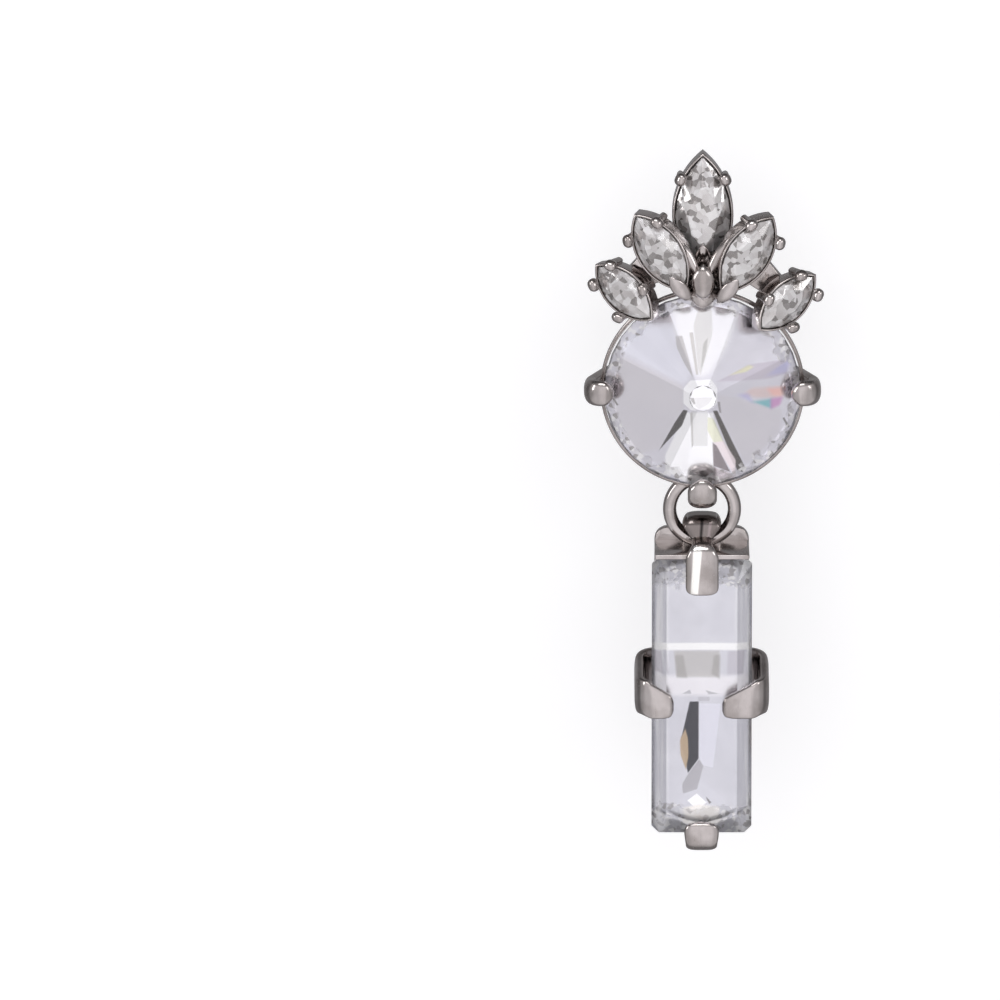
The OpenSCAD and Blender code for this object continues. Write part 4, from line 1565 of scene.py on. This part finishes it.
@dataclass(frozen=True)
class DropSetting:
    """Bail, shelf, back strap, side claws and foot claw of the drop.

    The strap and the claws are thicknesses, and the side is the distance of the band's middle from the stone's.
    """

    stone: DropStone = DropStone()
    strap: float = 0.8
    claw: float = 0.84
    gap: float = 0.06
    shelf_half: float = 3.87
    side_x: float = 5.08

    @property
    def strap_front(self) -> float:
        """Forward depth of the strap's face behind the stone."""
        return self.stone.table_f + self.stone.girdle_f - self.stone.back - self.gap

    @property
    def strap_middle(self) -> float:
        """Forward depth of the strap's middle."""
        return self.strap_front - self.strap / 2

    @property
    def claw_middle(self) -> float:
        """Forward depth of the middle of the claws on the stone's front."""
        return self.stone.table_f + self.gap + self.claw / 2

    def bail(self) -> Shell:
        """A domed strap up behind the ring's wire and over it, drawn in below the dome, and a claw over the stone.

        Above the height c the dome's half width is w*sqrt(1 - ((z - c)/h)**2), so that it looks round from the
        front.

        Returns:
            The closed strap.
        """
        dome_half, dome_from, dome_rise = 1.6, 0.85, 1.75
        claw_f = self.claw_middle + 0.04
        side = filleted([[-1.75, -1.0], [-1.75, 1.98], [1.4, 1.98], [1.5, 0.5], [claw_f, -0.1], [claw_f, -3.9]],
                        [0, 1.45, 1.35, 0.5, 0.7, 0])
        count = 170
        line = evenly(side, count)
        f, z = line[:, 0], line[:, 1]
        along = np.linspace(0, 1, count)
        waist, claw = along[int(np.argmin(np.hypot(f - 1.6, z - 0.35)))], along[int(np.argmin(np.hypot(f - 2.8, z)))]
        half_w = np.interp(along, [0, waist - 0.1, waist, claw - 0.02, claw + 0.06, 0.94, 1],
                           [dome_half, dome_half, 0.84, 0.84, 1.34, 1.36, 1.25])
        dome = dome_half * np.sqrt(1 - (np.clip(z - dome_from, 0, 1.7) / dome_rise) ** 2)
        half_w = np.where(z > dome_from, np.minimum(half_w, np.maximum(dome, 0.55)), half_w)
        half_t = course([(0, 0.3), (waist - 0.05, 0.3), (claw + 0.05, 0.42), (1, 0.4)], count)
        ends = rounded_ends(count, 0, 0.05, 2.6)
        thin = rounded_ends(count, 0, 0.03, 2.3)
        path = np.column_stack([np.zeros(count), f, z])
        return swept(path, (1, 0, 0), half_w * ends, half_t * thin, 3.4, 48, bulge=0.15)

    def shelf(self) -> list[Shell]:
        """The plate over the stone's top and the shouldered plate behind it.

        Returns:
            The two closed plates.
        """
        half, low = self.shelf_half, self.stone.top_z + self.gap
        back = self.strap_front - self.strap
        lid = filleted([[-half, low], [half, low], [half, low + 0.4], [-half, low + 0.4]], 0.1, True)
        foot = self.stone.top_z - 2.4
        shoulders = filleted([[-half, foot], [half, foot], [half, 0.5], [-half, 0.5]], [0.2, 0.2, 1.1, 1.1], True)
        return [plate(lid, back + 0.03, self.stone.table_f - 0.1, 0.1, 120),
                plate(shoulders, back, self.strap_front, 0.14, 120)]

    def spine(self) -> Shell:
        """The strap down the back, under the foot and up over the stone's lower edge.

        Returns:
            The closed strap.
        """
        foot = self.stone.top_z - self.stone.length - self.gap
        side = filleted([[self.strap_middle, self.stone.top_z - 1], [self.strap_middle, foot - 0.55],
                         [self.claw_middle, foot - 0.64], [self.claw_middle, foot + 1.45]], [0, 0.9, 0.8, 0])
        count = 150
        path = np.column_stack([np.zeros(count), evenly(side, count)])
        half_w = course([(0, 1.35), (0.8, 1.4), (0.885, 1.12), (0.93, 1.3), (0.97, 1.42), (1, 1.4)], count)
        half_t = course([(0, 0.4), (0.75, 0.42), (0.85, 0.52), (0.91, 0.56), (0.95, 0.46), (1, 0.4)], count)
        ends = rounded_ends(count, 0.01, 0.03, 2.6)
        thin = rounded_ends(count, 0.0, 0.015, 2.5)
        return swept(path, (1, 0, 0), half_w * ends, half_t * thin, 3.4, 40)

    def side_band(self) -> Shell:
        """The band round the stone's back and sides, sloping down to two slanting ends folded over the front.

        The band's middle lies at -12.05 - 0.231*f, f being the forward depth. Its folded ends are cut down towards
        the middle of the stone, and their outer lower corners are rounded up.

        Returns:
            The closed band.
        """
        front_f, back_f, side_x = self.claw_middle, self.strap_middle, self.side_x
        half_band, count, columns = 1.58, 240, 44
        line = filleted([[-2.3, front_f], [-side_x, front_f], [-side_x, back_f], [side_x, back_f], [side_x, front_f],
                         [1.65, front_f]], [0, 1.25, 1.25, 1.25, 1.25, 0])
        plan = evenly(line, count)
        x, f = plan[:, 0], plan[:, 1]
        folded = np.clip((f - front_f + 1.1) / 1.1, 0, 1) ** 2
        left_cut = np.clip((x + 4.5) / 2.2, 0, 1) * folded * 1.3
        right_cut = np.clip((4.5 - x) / 2.85, 0, 1) * folded * 1.5
        cut = np.where(x < 0, left_cut, right_cut)
        inner = np.where(x < 0, np.clip((x + 3.1) / 0.8, 0, 1), np.clip((2.5 - x) / 0.8, 0, 1))
        outer = np.clip((np.abs(x) - 4.0) / 1.1, 0, 1) ** 2
        rise = folded * (0.2 * inner + 0.75 * outer)
        middle = -12.05 - 0.231 * f
        upper, lower = middle + half_band - cut, middle - half_band + rise
        ends = rounded_ends(count, 0.016, 0.016, 2.4)
        half_w = (upper - lower) / 2 * np.clip(ends, 0.4, 1)
        half_t = self.strap / 2 * rounded_ends(count, 0.014, 0.014, 2.2)
        flat = np.column_stack([x, f, np.zeros(count)])
        grid = swept(flat, (0, 0, 1), half_w, half_t, 4.2, columns, bulge=0.1).points.reshape(count, columns, 3)
        grid[..., 2] += (upper + lower)[:, None] / 2
        return grid_shell(grid)

    def make(self, finishes: Finishes) -> None:
        """Builds the drop's metal.

        Args:
            finishes: The materials.
        """
        shells = [placed(s, LAYOUT.drop) for s in (self.bail(), *self.shelf(), self.spine(), self.side_band())]
        build("drop_claw_setting", shells, [finishes.drop_metal], Body.DROP, Slot.METAL, ["drop_setting"])


# ---------------------------------------------------------------- studio


@dataclass(frozen=True)
class Studio:
    """Backdrop, light and camera.

    A pixel is its size in millimetres at the earring, and the landing is where the round stone's middle lands in
    the picture. The floor, the wall and its bend are in millimetres of the row's frame.
    """

    elevation: float = 15.0
    picture: int = 1000
    pixel: float = 0.0816
    distance: float = 1800.0
    landing: tuple[float, float] = (702.5, 390.0)
    sensor: float = 36.0
    floor_z: float = -85.0
    wall_y: float = 13.2
    bend: float = 16.0

    def sweep(self) -> None:
        """White floor that curves up into a wall close behind the earring: a profile carried along X."""
        count = 200
        profile = [[-700, self.floor_z], [self.wall_y, self.floor_z], [self.wall_y, 400]]
        line = evenly(filleted(profile, [0, self.bend, 0]), count)
        x = np.array([-600.0, 600.0])
        grid = np.stack([np.broadcast_to(row, (count, 2)) for row in (x, line[:, :1], line[:, 1:])], axis=-1) * MM
        idx = np.arange(count - 1)
        quads = np.stack([2 * idx, 2 * idx + 1, 2 * idx + 3, 2 * idx + 2], axis=-1)
        mesh = bpy.data.meshes.new("studio_sweep")
        mesh.from_pydata(grid.reshape(-1, 3).tolist(), [], quads.tolist())
        mesh.polygons.foreach_set("use_smooth", np.full(len(quads), True))
        mesh.materials.append(WhiteSweep().make())
        obj = bpy.data.objects.new("studio_sweep", mesh)
        obj.visible_glossy = obj.visible_transmission = obj.visible_diffuse = False
        bpy.context.scene.collection.objects.link(obj)

    def lamp(self, name: str, place: Sequence[float], aim: Sequence[float], size: tuple[float, float],
             power: float) -> None:
        """A soft rectangular lamp.

        Args:
            name: Of the lamp.
            place: Its middle, in millimetres.
            aim: The point that it faces.
            size: Width and height in millimetres.
            power: In watts.
        """
        data = bpy.data.lights.new(name, "AREA")
        data.shape = "RECTANGLE"
        data.size, data.size_y = size[0] * MM, size[1] * MM
        data.energy = power
        obj = bpy.data.objects.new(name, data)
        back = np.asarray(place, dtype=float) - np.asarray(aim, dtype=float)
        obj.location = np.asarray(place, dtype=float) * MM
        obj.rotation_euler = Vector(back).to_track_quat("Z", "Y").to_euler()
        bpy.context.scene.collection.objects.link(obj)

    def world(self) -> None:
        """Soft light, brightest in front, dark from behind and above; plain white to the camera."""
        world = bpy.data.worlds.new("studio")
        bpy.context.scene.world = world
        world.use_nodes = True
        world.node_tree.nodes.clear()
        kit = NodeKit(world.node_tree)
        x, y, z = kit.split(kit.node("ShaderNodeTexCoord").outputs["Generated"])
        ahead = (1 - (abs(x) - z * 0.25).between(0.14, 0.62)) * (y * -1).between(0.1, 0.5)
        open_sky = 1 - z.between(0.52, 0.75) * 0.6
        behind = 1 - y.between(-0.2, 0.2) * 0.62
        aside = 1 - abs(x).between(0.75, 0.95) * 0.35
        shade = (0.8 + ahead * 0.35) * open_sky * behind * aside
        seen = kit.node("ShaderNodeLightPath").outputs["Is Camera Ray"]
        studio = kit.node("ShaderNodeBackground", {}, {"Color": (0.985, 0.975, 1, 1), "Strength": shade})
        plain = kit.node("ShaderNodeBackground", {}, {"Color": (1, 1, 1, 1), "Strength": 1.0})
        mix = kit.node("ShaderNodeMixShader", {}, {0: seen, 1: studio.outputs[0], 2: plain.outputs[0]})
        kit.node("ShaderNodeOutputWorld", {}, {"Surface": mix.outputs[0]})

    def camera(self) -> None:
        """A long lens above the earring, aimed so that the round stone lands where the photograph has it."""
        a = math.radians(self.elevation)
        up = np.array([0.0, math.sin(a), math.cos(a)])
        back = np.array([0.0, -math.cos(a), math.sin(a)])
        middle = LAYOUT.upper(np.zeros(3))
        dx = (self.picture / 2 - self.landing[0]) * self.pixel
        dy = (self.landing[1] - self.picture / 2) * self.pixel
        target = middle + np.array([dx, 0.0, 0.0]) + up * dy
        data = bpy.data.cameras.new("camera")
        data.sensor_width = self.sensor
        data.lens = self.sensor * self.distance / (self.picture * self.pixel)
        data.clip_start, data.clip_end = 0.01, 10.0
        obj = bpy.data.objects.new("camera", data)
        obj.location = (target + back * self.distance) * MM
        obj.rotation_euler = Vector(back).to_track_quat("Z", "Y").to_euler()
        bpy.context.scene.collection.objects.link(obj)
        bpy.context.scene.camera = obj

    def make(self) -> None:
        """Sets up the studio."""
        self.sweep()
        self.world()
        aim = (0, -5, -15)
        self.lamp("softbox_left", (-330, -170, 120), aim, (60, 220), 0.24)
        self.lamp("softbox_right", (260, -220, 160), aim, (90, 140), 0.12)
        self.lamp("softbox_top", (-30, -160, 330), aim, (220, 120), 0.3)
        self.camera()
        scene = bpy.context.scene
        scene.view_settings.view_transform = "Standard"
        scene.view_settings.look = "None"


def main() -> None:
    """Builds the studio and the earring from top to bottom."""
    logging.basicConfig(level=logging.INFO, format="%(name)s: %(message)s")
    finishes = Finishes.all()
    Studio().make()
    RoundStone().make(finishes)
    CrownStones().make(finishes)
    UpperSetting().make(finishes)
    EarPost().make(finishes)
    JumpRing().make(finishes)
    DropStone().make(finishes)
    DropSetting().make(finishes)


if __name__ == "__main__":
    main()
